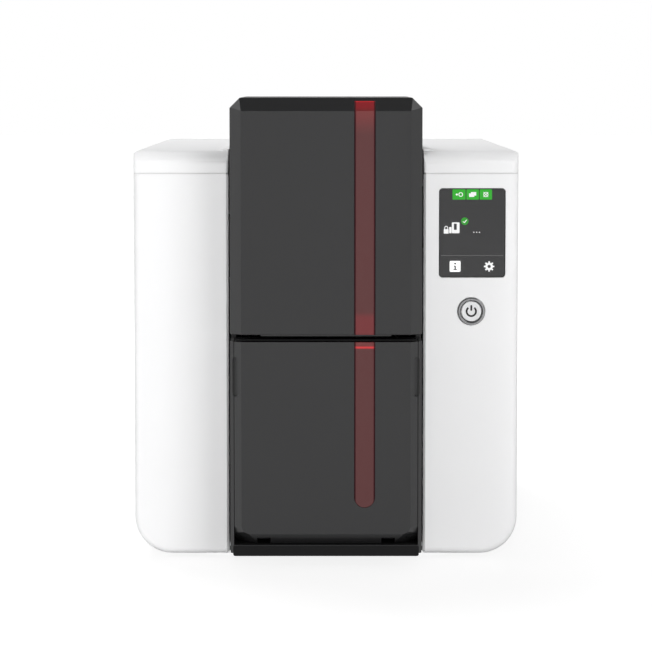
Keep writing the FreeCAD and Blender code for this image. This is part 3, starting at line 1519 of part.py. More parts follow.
for shaft_name, shaft_y in (("pick", pick_y), ("feed", feed_y), ("platen", platen_y), ("exit", exit_y)):
    save(shaft_name + "_shaft", roller_shaft(shaft_y))
    save(shaft_name + "_roller", roller_sleeve(shaft_y))
    save(shaft_name + "_pulley", pulley(shaft_y))
save("drive_belt", drive_belt())
save("platen_gear", platen_gear())
save("motor_pinion", motor_pinion())
save("motor_shaft", motor_shaft())
save("drive_motor", drive_motor())
save("pinch_roller", free_roller(feed_y))
save("cleaning_roller", free_roller(cleaner_y))
save("supply_spool", spool(supply_y, supply_z, supply_radius))
save("takeup_spool", spool(takeup_y, takeup_z, takeup_radius))
save("ribbon_film", ribbon_film())
save("print_head", print_head())
save("head_heatsink", head_heatsink())
save("head_bracket", head_bracket())
save("fan_frame", fan_frame())
save("fan_rotor", fan_rotor())
save("main_board", main_board())
save("ethernet_socket", ethernet_socket())
save("usb_socket", usb_socket())
save("power_socket", power_socket())
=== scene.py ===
import math

import bpy
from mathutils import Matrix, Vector


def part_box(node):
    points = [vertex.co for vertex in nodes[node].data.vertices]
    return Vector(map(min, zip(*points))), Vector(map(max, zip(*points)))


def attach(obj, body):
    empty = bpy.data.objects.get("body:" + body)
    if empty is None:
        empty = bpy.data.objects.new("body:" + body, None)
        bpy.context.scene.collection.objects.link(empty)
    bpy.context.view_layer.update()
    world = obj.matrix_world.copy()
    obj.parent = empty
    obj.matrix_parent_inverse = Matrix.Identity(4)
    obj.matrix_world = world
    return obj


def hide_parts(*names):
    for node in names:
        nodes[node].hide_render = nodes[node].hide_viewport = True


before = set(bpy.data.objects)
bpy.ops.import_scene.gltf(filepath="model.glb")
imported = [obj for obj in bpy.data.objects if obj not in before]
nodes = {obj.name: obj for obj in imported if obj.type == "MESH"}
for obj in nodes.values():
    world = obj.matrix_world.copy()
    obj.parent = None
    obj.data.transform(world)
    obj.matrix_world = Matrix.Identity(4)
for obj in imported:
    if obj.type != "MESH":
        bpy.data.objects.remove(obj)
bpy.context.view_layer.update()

mm = 0.001


# The photograph's view
# A long lens stands a little above the tower's top and looks slightly down at the middle of the front.
camera_place = Vector((0.0, -1.6975, 0.2555))
camera_tilt = math.radians(4.8)
scene = bpy.context.scene


def set_up(thing, **settings):
    """Gives a new thing its settings."""
    for name, setting in settings.items():
        setattr(thing, name, setting)
    return thing


camera_data = set_up(bpy.data.cameras.new("camera"), lens=161.0, sensor_width=36.0, clip_start=0.05,
                     clip_end=60.0)
camera = set_up(bpy.data.objects.new("camera", camera_data), location=camera_place,
                rotation_euler=(math.radians(90) - camera_tilt, 0, 0))
scene.collection.objects.link(camera)
scene.camera = camera
scene.view_settings.view_transform = "Standard"


# The studio
# A wide white floor keeps a soft shadow. The white surround is darker overhead and to the right, with a
# brighter patch high on either side. Soft lamps stand in front, low at either side, and above behind.
floor_half = 12.0
floor_drop = 0.2 * mm
floor_tone = (0.25, 0.25, 0.25)
floor_white = (0.58, 0.58, 0.58)
glow_reach = (0.35, 1.3)
glow_levels = (0.85, 1.0)
white = (1, 1, 1)
overhead = (0.20, 0.75)
sky_levels = (0.38, 0.10)
shown_levels = (1.0, 0.05)
rightwards = (0.35, 0.95)
right_levels = (1.0, 0.62)
side_out = (0.40, 0.62)
side_up = (0.30, 0.55)
side_levels = (0.0, 2.4)
aim = Vector((0, 0, 0.12))
lamps = {
    "front_lamp": ((0.0, -2.4, 0.35), 0.3, 1.2, 27.5),
    "right_lamp": ((1.15, -2.2, 0.45), 1.2, 1.2, 22.0),
    "left_lamp": ((-2.0, -1.6, 0.5), 0.9, 0.9, 17.0),
    "rear_lamp": ((-0.5, 1.25, 2.25), 1.3, 1.3, 53.0),
}


def set_mode(mode):
    """Goes to edit mode or object mode."""
    bpy.ops.object.mode_set(mode=mode)


def deselect_all():
    """Leaves edit mode with nothing selected."""
    if bpy.context.object and bpy.context.object.mode != "OBJECT":
        set_mode("OBJECT")
    bpy.ops.object.select_all(action="DESELECT")


def fill_sockets(node, sockets):
    """Fills a node's inputs: outputs of other nodes are linked, values set, and colours get their alpha."""
    for name, value in sockets.items():
        socket = node.inputs[name]
        if isinstance(value, bpy.types.NodeSocket):
            node.id_data.links.new(value, socket)
        else:
            socket.default_value = (*value, 1) if socket.type == "RGBA" else value


def new_node(tree, kind, sockets={}, **settings):
    """A new shader node with its settings and inputs; gives back its outputs."""
    node = set_up(tree.nodes.new(f"ShaderNode{kind}"), **settings)
    fill_sockets(node, sockets)
    return node.outputs


def on_piece(tree, kind, sockets={}, **settings):
    """A new shader node that takes the place on the piece, in object coordinates."""
    place = new_node(tree, "TexCoord")["Object"]
    return new_node(tree, kind, {"Vector": place, **sockets}, **settings)


def maths(tree, operation, first, second=0.0):
    """The result of one operation on a value or two."""
    return new_node(tree, "Math", {0: first, 1: second}, operation=operation)["Value"]


def spread_over(tree, value, low, high, to_low=0.0, to_high=1.0):
    """A value that runs from to_low to to_high while another runs from low to high."""
    ends = {"Value": value, "From Min": low, "From Max": high, "To Min": to_low, "To Max": to_high}
    return new_node(tree, "MapRange", ends)["Result"]


def lit_and_shown(tree, output, lit, shown):
    """Ends a tree: one shader lights the object, the other is what the camera, gloss and glass show."""
    paths = new_node(tree, "LightPath")
    seen = paths["Is Camera Ray"]
    for ray in ("Is Glossy Ray", "Is Transmission Ray"):
        seen = maths(tree, "MAXIMUM", seen, paths[ray])
    mixed = new_node(tree, "MixShader", {"Fac": seen, 1: lit, 2: shown})["Shader"]
    new_node(tree, output, {"Surface": mixed})


def light_surround():
    """The world: plain light for the object, and the surround that gloss shows."""
    world = bpy.data.worlds.new("studio")
    world.use_nodes = True
    scene.world = world
    tree = world.node_tree
    tree.nodes.clear()
    split = new_node(tree, "SeparateXYZ", {"Vector": new_node(tree, "TexCoord")["Generated"]})
    level = maths(tree, "MULTIPLY", spread_over(tree, split["Z"], *overhead, *shown_levels),
                  spread_over(tree, split["X"], *rightwards, *right_levels))
    outwards = maths(tree, "ABSOLUTE", split["X"])
    patch = maths(tree, "MULTIPLY", spread_over(tree, outwards, *side_out),
                  spread_over(tree, split["Z"], *side_up, *side_levels))
    strengths = (spread_over(tree, split["Z"], *overhead, *sky_levels), maths(tree, "MAXIMUM", level, patch))
    lit, shown = (new_node(tree, "Background", {"Color": white, "Strength": strength})["Background"]
                  for strength in strengths)
    lit_and_shown(tree, "OutputWorld", lit, shown)


def soft_lamp(name, place, wide, tall, power):
    """A lamp that looks at the object; gloss shows the surround and not the lamp."""
    data = set_up(bpy.data.lights.new(name, "AREA"), shape="RECTANGLE", size=wide, size_y=tall, energy=power)
    turn = (aim - Vector(place)).to_track_quat("-Z", "Y").to_euler()
    lamp = set_up(bpy.data.objects.new(name, data), location=place, visible_glossy=False, rotation_euler=turn)
    scene.collection.objects.link(lamp)


def new_material(name):
    """A node material with its tree and its Principled shader."""
    material = bpy.data.materials.new(name)
    material.use_nodes = True
    return material, material.node_tree, material.node_tree.nodes["Principled BSDF"]


def lay_floor():
    """The floor: its own white for the camera and gloss, plus the light and shadow that fall on it."""
    deselect_all()
    bpy.ops.mesh.primitive_plane_add(size=2 * floor_half, location=(0, 0, -floor_drop))
    floor = bpy.context.object
    floor.name = "floor"
    material, tree, _ = new_material("white_floor")
    tree.nodes.clear()
    reach = on_piece(tree, "VectorMath", operation="LENGTH")["Value"]
    glow = new_node(tree, "Emission", {"Strength": spread_over(tree, reach, *glow_reach, *glow_levels)})
    matt = new_node(tree, "BsdfDiffuse", {"Color": floor_tone})
    both = new_node(tree, "AddShader", {0: matt["BSDF"], 1: glow["Emission"]})
    bright = new_node(tree, "BsdfDiffuse", {"Color": floor_white})
    lit_and_shown(tree, "OutputMaterial", bright["BSDF"], both["Shader"])
    floor.data.materials.append(material)


light_surround()
for lamp_name, lamp_sizes in lamps.items():
    soft_lamp(lamp_name, *lamp_sizes)
lay_floor()


# Side covers, lid and rear panel
# White ABS mouldings with a fine satin grain and small rounded edges. The covers clip round the base
# plate, the lid turns on two pins at the back, and the rear panel has the vents and the socket openings.
weld_gap = 0.002 * mm
flat_angle = math.radians(0.5)
sharp_angle = math.radians(32)
grain_parts = (("Grain Scale", "Height", 3.0), ("Tone Scale", "Tone", 2.0))


def moulded_grain():
    """Node group: a fine grain height and a slow tone, both from object coordinates."""
    group = bpy.data.node_groups.new("moulded_grain", "ShaderNodeTree")
    for scale, result, _ in grain_parts:
        group.interface.new_socket(scale, in_out="INPUT", socket_type="NodeSocketFloat")
        group.interface.new_socket(result, in_out="OUTPUT", socket_type="NodeSocketFloat")
    inside = group.nodes.new("NodeGroupInput").outputs
    outside = group.nodes.new("NodeGroupOutput")
    place = new_node(group, "TexCoord")["Object"]
    for scale, result, detail in grain_parts:
        noise = new_node(group, "TexNoise", {"Vector": place, "Scale": inside[scale], "Detail": detail})
        fill_sockets(outside, {result: noise["Fac"]})
    return group


grain_group = moulded_grain()


def two_tones(tree, factor, low, high):
    """A colour between two others."""
    return new_node(tree, "Mix", {"A": low, "B": high, "Factor": factor}, data_type="RGBA")["Result"]


def bumped(tree, shader, height, depth, strength=0.35):
    """A bump on the shader, with its depth in millimetres."""
    bump = new_node(tree, "Bump", {"Strength": strength, "Distance": depth * mm, "Height": height})
    fill_sockets(shader, {"Normal": bump["Normal"]})


def moulded(name, low, high, roughness, grain_scale, grain_depth=0.01, spread=0.08, tone_scale=14.0,
            specular=0.5):
    """A moulded plastic: two close tones, a grain bump and a roughness that wanders by spread."""
    material, tree, shader = new_material(name)
    scales = {"Grain Scale": grain_scale, "Tone Scale": tone_scale}
    grain = new_node(tree, "Group", scales, node_tree=grain_group)
    tone = grain["Tone"]
    fill_sockets(shader, {
        "Base Color": two_tones(tree, tone, low, high),
        "Roughness": spread_over(tree, tone, 0, 1, roughness - spread / 2, roughness + spread / 2),
        "Specular IOR Level": specular,
    })
    bumped(tree, shader, grain["Height"], grain_depth)
    return material


def soften(piece, width, segments=2):
    """Rounds a CAD mesh's sharp edges: its triangles join into flats, then the edges are bevelled."""
    set_up(piece.modifiers.new("joined", "WELD"), merge_threshold=weld_gap)
    set_up(piece.modifiers.new("flats", "DECIMATE"), decimate_type="DISSOLVE", angle_limit=flat_angle)
    set_up(piece.modifiers.new("rounded", "BEVEL"), width=width * mm, segments=segments, limit_method="ANGLE",
           angle_limit=sharp_angle, use_clamp_overlap=True, harden_normals=True)


def finish_node(node, material, rounding=0, segments=2):
    """Gives a CAD piece its finish, and rounds its edges by a size in millimetres."""
    piece = nodes[node]
    piece.data.materials.clear()
    piece.data.materials.append(material)
    if rounding:
        soften(piece, rounding, segments)


white_plastic = moulded("white_plastic", (0.815, 0.815, 0.820), (0.845, 0.845, 0.850), 0.46, 2600.0, 0.03)
for cover, rounding in (("left_cover", 0.5), ("right_cover", 0.5), ("lid_shell", 0.5), ("rear_panel", 0.4)):
    finish_node(cover, white_plastic, rounding)


# Pale strips in the lid seam
# Thin pale grey strips along the covers' top edges, just under the closed lid. They fill the seam gap so that
# it
# shows lighter than its shade: painted light in the seam.
seam_fill_setback = 0.25 * mm
seam_fill_wide = 1.2 * mm
seam_fill_gap = 0.06 * mm
seam_fill_round = 0.12 * mm
seam_fill_x0 = 53.0 * mm
seam_fill_y1 = 155.0 * mm
merge_gap = 0.001 * mm


def deselect_mesh(kind):
    """Edge or face mode with nothing selected."""
    set_mode("EDIT")
    bpy.ops.mesh.select_mode(type=kind)
    bpy.ops.mesh.select_all(action="DESELECT")
    set_mode("OBJECT")


def block(name, low, high):
    """A block between two corners."""
    deselect_all()
    low = Vector(low)
    high = Vector(high)
    bpy.ops.mesh.primitive_cube_add(size=1, location=(low + high) / 2, scale=high - low)
    piece = bpy.context.object
    piece.name = name
    bpy.ops.object.transform_apply()
    return piece


def bevel_edges(piece, wanted, width, segments=3):
    """Rounds the edges whose two ends pass a test."""
    deselect_mesh("EDGE")
    points = piece.data.vertices
    for edge in piece.data.edges:
        first, second = (points[index].co for index in edge.vertices)
        edge.select = wanted(first, second)
    set_mode("EDIT")
    bpy.ops.mesh.bevel(offset=width, segments=segments, affect="EDGES")
    set_mode("OBJECT")


def along(axis):
    """A test for edges that run along one axis."""
    others = [number for number in range(3) if number != axis]
    return lambda first, second: all(abs(first[number] - second[number]) < merge_gap for number in others)


def carried(piece, material, body="root", replaced=None):
    """Gives a new piece its finish and its body, and hides the CAD piece it stands for."""
    piece.data.materials.clear()
    piece.data.materials.append(material)
    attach(piece, body)
    if replaced:
        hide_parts(replaced)
    return piece


# Pale grey that lightens the seam's shade: painted light.
felt = moulded("felt", (0.66, 0.66, 0.66), (0.76, 0.76, 0.76), 0.95, 1500.0, 0.1)
cover_low, cover_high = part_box("right_cover")
seam_fill_low_z = cover_high.z + seam_fill_gap
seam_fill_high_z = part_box("lid_shell")[0].z - seam_fill_gap
seam_fill_front = cover_low.y + seam_fill_setback
seam_fill_side = cover_high.x - seam_fill_setback
for side, hand in ((-1, "left"), (1, "right")):
    runs = (("front", 0, seam_fill_x0, seam_fill_side, seam_fill_front, seam_fill_front + seam_fill_wide),
            ("side", 1, seam_fill_side - seam_fill_wide, seam_fill_side, seam_fill_front + seam_fill_wide, seam_fill_y1))
    for name, axis, x0, x1, y0, y1 in runs:
        xs = sorted((side * x0, side * x1))
        seam_fill = block(f"lid_seal_{hand}_{name}", (xs[0], y0, seam_fill_low_z), (xs[1], y1, seam_fill_high_z))
        bevel_edges(seam_fill, along(axis), seam_fill_round, 2)
        carried(seam_fill, felt)


# Rear screws
# Four zinc-plated pan screws with a cross recess, sunk in the rear panel, that hold it to the covers.
axes = {
    "x": (Vector((1, 0, 0)), Vector((0, 0, 1))),
    "y": (Vector((0, 1, 0)), Vector((0, 0, 1))),
    "z": (Vector((0, 0, 1)), Vector((1, 0, 0))),
}
smooth_angle = math.radians(35)
streak_spread = 0.07
streak_depth = 0.01
screw_radius = 3.0 * mm
screw_profile = [(0, -1.5), (2.9, -1.5), (3.0, -1.3), (3.0, -0.7), (2.6, -0.25), (1.6, 0), (0, 0)]
recess_long = 3.4 * mm
recess_wide = 0.8 * mm
recess_deep = 0.9 * mm


def brushed(name, low, high, roughness, stretch, scale=90.0):
    """A metal with rolled, drawn or turned streaks along one axis."""
    material, tree, shader = new_material(name)
    stretched = on_piece(tree, "Mapping", {"Scale": stretch})["Vector"]
    streaks = new_node(tree, "TexNoise", {"Vector": stretched, "Scale": scale, "Detail": 5.0})["Fac"]
    fill_sockets(shader, {
        "Base Color": two_tones(tree, streaks, low, high),
        "Roughness": spread_over(tree, streaks, 0, 1, roughness - streak_spread, roughness + streak_spread),
        "Metallic": 1.0,
    })
    bumped(tree, shader, streaks, streak_depth, 0.3)
    return material


def chain(name, points):
    """A new mesh of edges: one vertex, extruded from point to point, left in edit mode."""
    deselect_all()
    bpy.ops.mesh.primitive_plane_add(size=mm, location=points[0])
    piece = bpy.context.object
    piece.name = name
    bpy.ops.object.transform_apply()
    set_mode("EDIT")
    bpy.ops.mesh.select_mode(type="VERT")
    bpy.ops.mesh.select_all(action="SELECT")
    bpy.ops.mesh.merge(type="CENTER")
    for start, end in zip(points, points[1:]):
        bpy.ops.mesh.extrude_region_move(TRANSFORM_OT_translate={"value": Vector(end) - Vector(start)})
    bpy.ops.mesh.select_all(action="SELECT")
    return piece


def turned(name, centre, axis, profile, steps=48):
    """A lathe form: its profile's points are (radius, place along the axis) in millimetres."""
    forward, out = axes[axis]
    middle = Vector(centre)
    piece = chain(name, [middle + (out * radius + forward * place) * mm for radius, place in profile])
    bpy.ops.mesh.spin(steps=steps, angle=2 * math.pi, center=middle, axis=forward)
    bpy.ops.mesh.select_all(action="SELECT")
    bpy.ops.mesh.remove_doubles(threshold=merge_gap)
    bpy.ops.mesh.normals_make_consistent(inside=False)
    set_mode("OBJECT")
    bpy.ops.object.shade_smooth_by_angle(angle=smooth_angle)
    return piece


def pick(piece):
    """Makes one piece active, with nothing else selected."""
    deselect_all()
    bpy.context.view_layer.objects.active = piece
    piece.select_set(True)


def carve(piece, cutter):
    """Takes a cutter away from a piece."""
    pick(piece)
    set_up(piece.modifiers.new("cut", "BOOLEAN"), operation="DIFFERENCE", solver="EXACT", object=cutter)
    bpy.ops.object.modifier_apply(modifier="cut")
    bpy.data.objects.remove(cutter, do_unlink=True)


def cross_recess(screw, top, deep_axis):
    """Carves a cross recess into the top of a screw's head."""
    others = [axis for axis in range(3) if axis != deep_axis]
    for long_axis, wide_axis in (others, others[::-1]):
        half = Vector()
        half[deep_axis] = recess_deep
        half[long_axis] = recess_long / 2
        half[wide_axis] = recess_wide / 2
        carve(screw, block("recess", top - half, top + half))


def repeat(first, shifts):
    """Copies of a finished piece, numbered from 2, each with its own mesh and its shift in the mesh."""
    for number, shift in enumerate(shifts, 2):
        pick(first)
        bpy.ops.object.duplicate()
        twin = bpy.context.object
        twin.name = f"{first.name[:-1]}{number}"
        bpy.ops.transform.translate(value=shift)
        bpy.ops.object.transform_apply()
        carried(twin, first.data.materials[0])


plated_steel = brushed("plated_steel", (0.50, 0.50, 0.49), (0.62, 0.62, 0.61), 0.34, (5, 5, 5))
screw_low, screw_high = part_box("rear_screws")
screw_flat = screw_radius * math.cos(math.pi / 12)
screw_x = screw_high.x - screw_flat
screw_zs = (screw_low.z + screw_flat, screw_high.z - screw_flat)
first_place = Vector((screw_x, screw_high.y, screw_zs[0]))
rear_screw = turned("rear_screw_1", first_place, "y", screw_profile, 32)
cross_recess(rear_screw, first_place, 1)
carried(rear_screw, plated_steel, replaced="rear_screws")
screw_places = ((screw_x, screw_zs[1]), (-screw_x, screw_zs[0]), (-screw_x, screw_zs[1]))
repeat(rear_screw, [Vector((x, screw_high.y, z)) - first_place for x, z in screw_places])


# Base plate, frame plates and head bracket
# Pressed zinc-coated sheet with a faint spangle and broken edges, folded at the sides and screwed to the
# mouldings.
zinc_sheet, tree, shader = new_material("zinc_sheet")
spangle = on_piece(tree, "TexVoronoi", {"Scale": 160.0})["Distance"]
fill_sockets(shader, {
    "Base Color": two_tones(tree, spangle, (0.60, 0.61, 0.62), (0.50, 0.51, 0.52)),
    "Roughness": spread_over(tree, spangle, 0, 1, 0.32, 0.48),
    "Metallic": 1.0,
})
for sheet in ("base_plate", "frame_left", "frame_right", "head_bracket"):
    finish_node(sheet, zinc_sheet, 0.25, 1)


# Rubber feet
# Four round feet, moulded in soft black rubber with a shallow hollow below and a slight taper, pressed
# into the base plate.
foot_profile = [(0, 0.7), (5.6, 0.7), (6.3, 0.1), (6.8, 0), (8.1, 0), (8.7, 0.5), (8.4, 5.0), (0, 5.0)]
foot_radius = 9.0 * mm
rubber = moulded("rubber", (0.016, 0.016, 0.017), (0.030, 0.030, 0.031), 0.8, 1500.0, 0.08)
foot_low, foot_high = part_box("rubber_feet")
foot_flat = foot_radius * math.cos(math.pi / 12)
foot_place = Vector((foot_high.x - foot_flat, foot_low.y + foot_flat, 0))
foot_across = Vector((-2 * foot_place.x, 0, 0))
foot_back = Vector((0, foot_high.y - foot_low.y - 2 * foot_flat, 0))
rubber_foot = turned("rubber_foot_1", foot_place, "z", foot_profile)
carried(rubber_foot, rubber, replaced="rubber_feet")
repeat(rubber_foot, (foot_back, foot_across, foot_across + foot_back))


# Tower and doors
# Black ABS with a spark-eroded grain. The frame stands on the base plate, and the two deep caps are its
# doors: the upper one covers the card magazine, the lower one the tray. A dark rubber apron is glued on
# the tower's foot, and a dark sill lies back in the seam between the doors.
chamfer = 6.0 * mm
top_bevel = 6.8 * mm
top_corner = 5.0 * mm
lower_bevel = 5.7 * mm
lower_shoulder = 3.8 * mm
corner_cuts = (1.6 * mm, 3.6 * mm)
apron_half = 48.5 * mm
apron_low_z = 8.1 * mm
apron_high_z = 13.6 * mm
apron_proud = 0.15 * mm
apron_deep = 3.0 * mm
apron_round = 1.0 * mm
sill_half = 47.5 * mm
sill_rise = 0.4 * mm
sill_tall = 0.85 * mm
sill_setback = 2.6 * mm
sill_deep = 3.2 * mm
sill_round = 0.25 * mm
black_plastic = moulded("black_plastic", (0.0105, 0.0105, 0.0110), (0.0140, 0.0140, 0.0145), 0.44, 2300.0,
                        0.04, 0.06)
dark_rubber = moulded("dark_rubber", (0.0040, 0.0040, 0.0042), (0.0065, 0.0065, 0.0068), 0.72, 2300.0, 0.04,
                      specular=0.22)
finish_node("tower_frame", black_plastic, 0.4, 3)


def planed(name, node, planes, width):
    """A door from its CAD mesh, joined up, with its corners planed off and its edges rounded."""
    door = bpy.data.objects.new(name, nodes[node].data.copy())
    scene.collection.objects.link(door)
    pick(door)
    set_mode("EDIT")
    bpy.ops.mesh.select_mode(type="VERT")
    bpy.ops.mesh.select_all(action="SELECT")
    bpy.ops.mesh.remove_doubles(threshold=weld_gap)
    bpy.ops.mesh.dissolve_limited(angle_limit=flat_angle)
    for place, outward in planes:
        bpy.ops.mesh.select_all(action="SELECT")
        bpy.ops.mesh.bisect(plane_co=place, plane_no=outward, use_fill=True, clear_outer=True)
    set_mode("OBJECT")
    carried(door, black_plastic, node, node)
    soften(door, width, 3)


def corner_plane(first, second, third, inside):
    """A plane through three points, as a place and a direction away from an inside point."""
    first = Vector(first)
    outward = (Vector(second) - first).cross(Vector(third) - first).normalized()
    if outward.dot(Vector(inside) - first) > 0:
        outward = -outward
    return first, outward


upper_low, upper_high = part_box("feeder_door")
lower_low, lower_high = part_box("output_door")
upper_planes = []
lower_planes = []
for side in (-1, 1):
    outer = side * upper_high.x
    upper_planes.append(corner_plane((outer - side * chamfer, upper_low.y, upper_high.z - top_bevel),
                                     (outer, upper_low.y + chamfer, upper_high.z - top_corner),
                                     (outer - side * top_corner, upper_low.y + chamfer, upper_high.z),
                                     (0, upper_high.y, 0)))
    corner = Vector((side * (lower_high.x - lower_shoulder), lower_low.y, lower_low.z + lower_bevel))
    for cut, slant in (corner_cuts, corner_cuts[::-1]):
        lower_planes.append(corner_plane(corner + Vector((-side * cut, 0, 0)),
                                         corner + Vector((0, 0, slant)),
                                         corner + Vector((side * lower_shoulder, lower_bevel, 0)),
                                         (0, lower_high.y, lower_high.z)))
planed("upper_door", "feeder_door", upper_planes, 0.7)
planed("lower_door", "output_door", lower_planes, 0.6)

tower_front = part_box("tower_frame")[0].y
apron = block("base_apron", (-apron_half, tower_front - apron_proud, apron_low_z),
              (apron_half, tower_front + apron_deep, apron_high_z))
bevel_edges(apron, along(1), apron_round, 4)
carried(apron, dark_rubber)
sill_front = lower_low.y + sill_setback
sill_low_z = lower_high.z + sill_rise
seam_sill = block("seam_sill", (-sill_half, sill_front, sill_low_z),
                  (sill_half, sill_front + sill_deep, sill_low_z + sill_tall))
bevel_edges(seam_sill, along(0), sill_round)
carried(seam_sill, dark_rubber)


# Red strips
# Two smoked red windows, moulded clear and tinted, that show the cards left. They are darker along both
# edges, which is painted shade of the gaps beside them. They are brighter at the top, beside the seam and in
# a band above it, which is painted light shining through them, with a thin painted highlight line and a faint
# painted glow.
# Places in the tables are heights in millimetres.
strip_x = 20.1 * mm
strip_half = 5.45 * mm
strip_rim = (4.4 * mm, 4.9 * mm)
strip_roughness = (0.42, 0.95)
strip_ends = (30 * mm, 248 * mm)
strip_mid = (0.064, 0.014, 0.014)
# Brighter reds for the lit bands and the top end: painted light.
strip_lit_band = (0.108, 0.018, 0.018)
strip_lit_red = (0.115, 0.013, 0.015)
strip_top_lit = (0.180, 0.015, 0.019)
strip_painted_light = (0.50, 0.022, 0.026)
# The rim colour: painted shade of the gaps beside the strip.
strip_edge_shade = (0.024, 0.002, 0.004)
# Tones by height: the base red with painted light bands and a painted highlight line.
strip_tones_and_light = ((32, strip_mid), (117.3, strip_mid), (117.6, strip_painted_light), (118.1, strip_painted_light),
               (118.4, strip_lit_band), (121.0, strip_lit_band), (123.0, strip_lit_red), (133.5, strip_lit_red),
               (136.0, strip_mid), (228.0, strip_mid), (237.0, strip_lit_band), (240.9, strip_lit_band),
               (241.4, strip_top_lit), (244.9, strip_top_lit), (245.3, strip_painted_light))
no_glow = (0, 0, 0)
# Glow by height: painted light, strongest at the highlight line and the top end.
highlight_line_glow = (0.08, 0.004, 0.005)
strip_painted_glow = ((32, no_glow), (117.3, no_glow), (117.6, highlight_line_glow), (118.1, highlight_line_glow),
              (118.4, (0.01, 0, 0)), (121, no_glow), (232, no_glow), (240, (0.02, 0.001, 0.001)),
              (244.9, (0.03, 0.001, 0.001)), (245.3, (0.25, 0.006, 0.008)))


def colour_ramp(tree, value, stops, interpolation="LINEAR"):
    """A colour that follows a value; the stops are (position, colour)."""
    ramp = tree.nodes.new("ShaderNodeValToRGB")
    fill_sockets(ramp, {"Fac": value})
    ramp.color_ramp.interpolation = interpolation
    elements = ramp.color_ramp.elements
    elements.remove(elements[1])
    for number, (position, colour) in enumerate(stops):
        element = elements.new(position) if number else elements[0]
        set_up(element, position=position, color=(*colour, 1))
    return ramp.outputs["Color"]


def strip_ramp(tree, height, table):
    """A colour that follows the height on a strip."""
    low, high = strip_ends
    stops = [((place * mm - low) / (high - low), colour) for place, colour in table]
    return colour_ramp(tree, spread_over(tree, height, low, high), stops)


red_window, tree, shader = new_material("red_window")
split = on_piece(tree, "SeparateXYZ")
across = maths(tree, "SUBTRACT", split["X"], strip_x)
end_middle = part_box("output_window")[0].z + strip_half
under_end = maths(tree, "MINIMUM", maths(tree, "SUBTRACT", split["Z"], end_middle))
from_spine = new_node(tree, "CombineXYZ", {"X": across, "Z": under_end})["Vector"]
off_middle = new_node(tree, "VectorMath", {0: from_spine}, operation="LENGTH")["Value"]
# Towards the rim the colour darkens: painted shade.
at_rim = spread_over(tree, off_middle, *strip_rim)
# The height tables paint the light bands, the highlight line and the glow.
fill_sockets(shader, {
    "Base Color": two_tones(tree, at_rim, strip_ramp(tree, split["Z"], strip_tones_and_light), strip_edge_shade),
    "Emission Color": strip_ramp(tree, split["Z"], strip_painted_glow),
    "Emission Strength": 1.0,
    "Roughness": spread_over(tree, off_middle, *strip_rim, *strip_roughness),
})
for window in ("feeder_window", "output_window"):
    finish_node(window, red_window, 0.25)


# Touch screen
# A dark glass over a lit display, flush in the right wing, with green status tiles, a small printer with
# a padlock and a tick, a dividing line, and plain signs for notes and settings. Places on the glass are
# millimetres from its left and top edges.
pixel_scale = 5200.0
lift = 0.05 * mm
green = (0.008, 0.420, 0.004)
pale = (1.30, 1.30, 1.30)
line_grey = (0.115, 0.115, 0.115)
display_black = (0.020, 0.020, 0.022)
pixel_shares = {"Color1": 0.70, "Color2": 0.66, "Mortar": 0.55}
tile_us = ((6.9, 13.85), (14.3, 20.9), (21.35, 27.9))
tile_vs = (0.35, 5.8)
glass_low, glass_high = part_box("screen_glass")


def shaded(colour, share):
    """A share of a colour."""
    return tuple(share * tone for tone in colour)


def lit_finish(name, colour):
    """Lit display pixels: the colour shows through a fine grid and gives most of its own light."""
    material, tree, shader = new_material(name)
    grid = {socket: shaded(colour, share) for socket, share in pixel_shares.items()}
    pixels = on_piece(tree, "TexBrick", {"Scale": pixel_scale, "Mortar Size": 0.02, **grid}, offset=0.0)
    fill_sockets(shader, {
        "Base Color": two_tones(tree, pixels["Fac"], shaded(colour, 0.25), shaded(colour, 0.15)),
        "Emission Color": pixels["Color"],
        "Emission Strength": 1.0,
        "Roughness": 0.3,
    })
    return material


def spot(u, v, layers=0):
    """A place on the glass, some layers above it."""
    return Vector((glass_low.x + u * mm, glass_low.y - layers * lift, glass_high.z - v * mm))


def glass_tile(name, u0, u1, v0, v1, corner, material, layers=1):
    """A thin tile on the glass with round corners."""
    tile = block(name, spot(u0, v1, layers), spot(u1, v0))
    bevel_edges(tile, along(1), corner * mm, 5)
    carried(tile, material)


def pushed(name, points, depth):
    """A flat closed outline, filled and pushed to a thickness."""
    piece = chain(name, [*points, points[0]])
    bpy.ops.mesh.remove_doubles(threshold=merge_gap)
    bpy.ops.mesh.edge_face_add()
    bpy.ops.mesh.extrude_region_move(TRANSFORM_OT_translate={"value": depth})
    bpy.ops.mesh.select_all(action="SELECT")
    bpy.ops.mesh.normals_make_consistent(inside=False)
    set_mode("OBJECT")
    return piece


def band(path, width):
    """The outline of a stroke of one width along a path of flat points."""
    left = []
    right = []
    for number, point in enumerate(path):
        before = Vector(path[max(number - 1, 0)])
        after = Vector(path[min(number + 1, len(path) - 1)])
        run = (after - before).normalized()
        sideways = Vector((-run.y, run.x)) * width / 2
        left.append(Vector(point) + sideways)
        right.append(Vector(point) - sideways)
    return left + right[::-1]


def on_circle(centre, radius, degrees):
    """A point on a circle; the angle is from the top, clockwise."""
    angle = math.radians(degrees)
    return Vector((centre[0] + radius * math.sin(angle), centre[1] - radius * math.cos(angle)))


def arc(centre, radius, start, end, steps):
    """Points on an arc."""
    return [on_circle(centre, radius, start + (end - start) * number / steps) for number in range(steps + 1)]


def disc(centre, radius, corners):
    """The outline of a round spot."""
    return arc(centre, radius, 0, 360 - 360 / corners, corners - 1)


def hoop(centre, radius, width):
    """The outline of a thin ring."""
    return band(arc(centre, radius, 0, 355, 28), width)


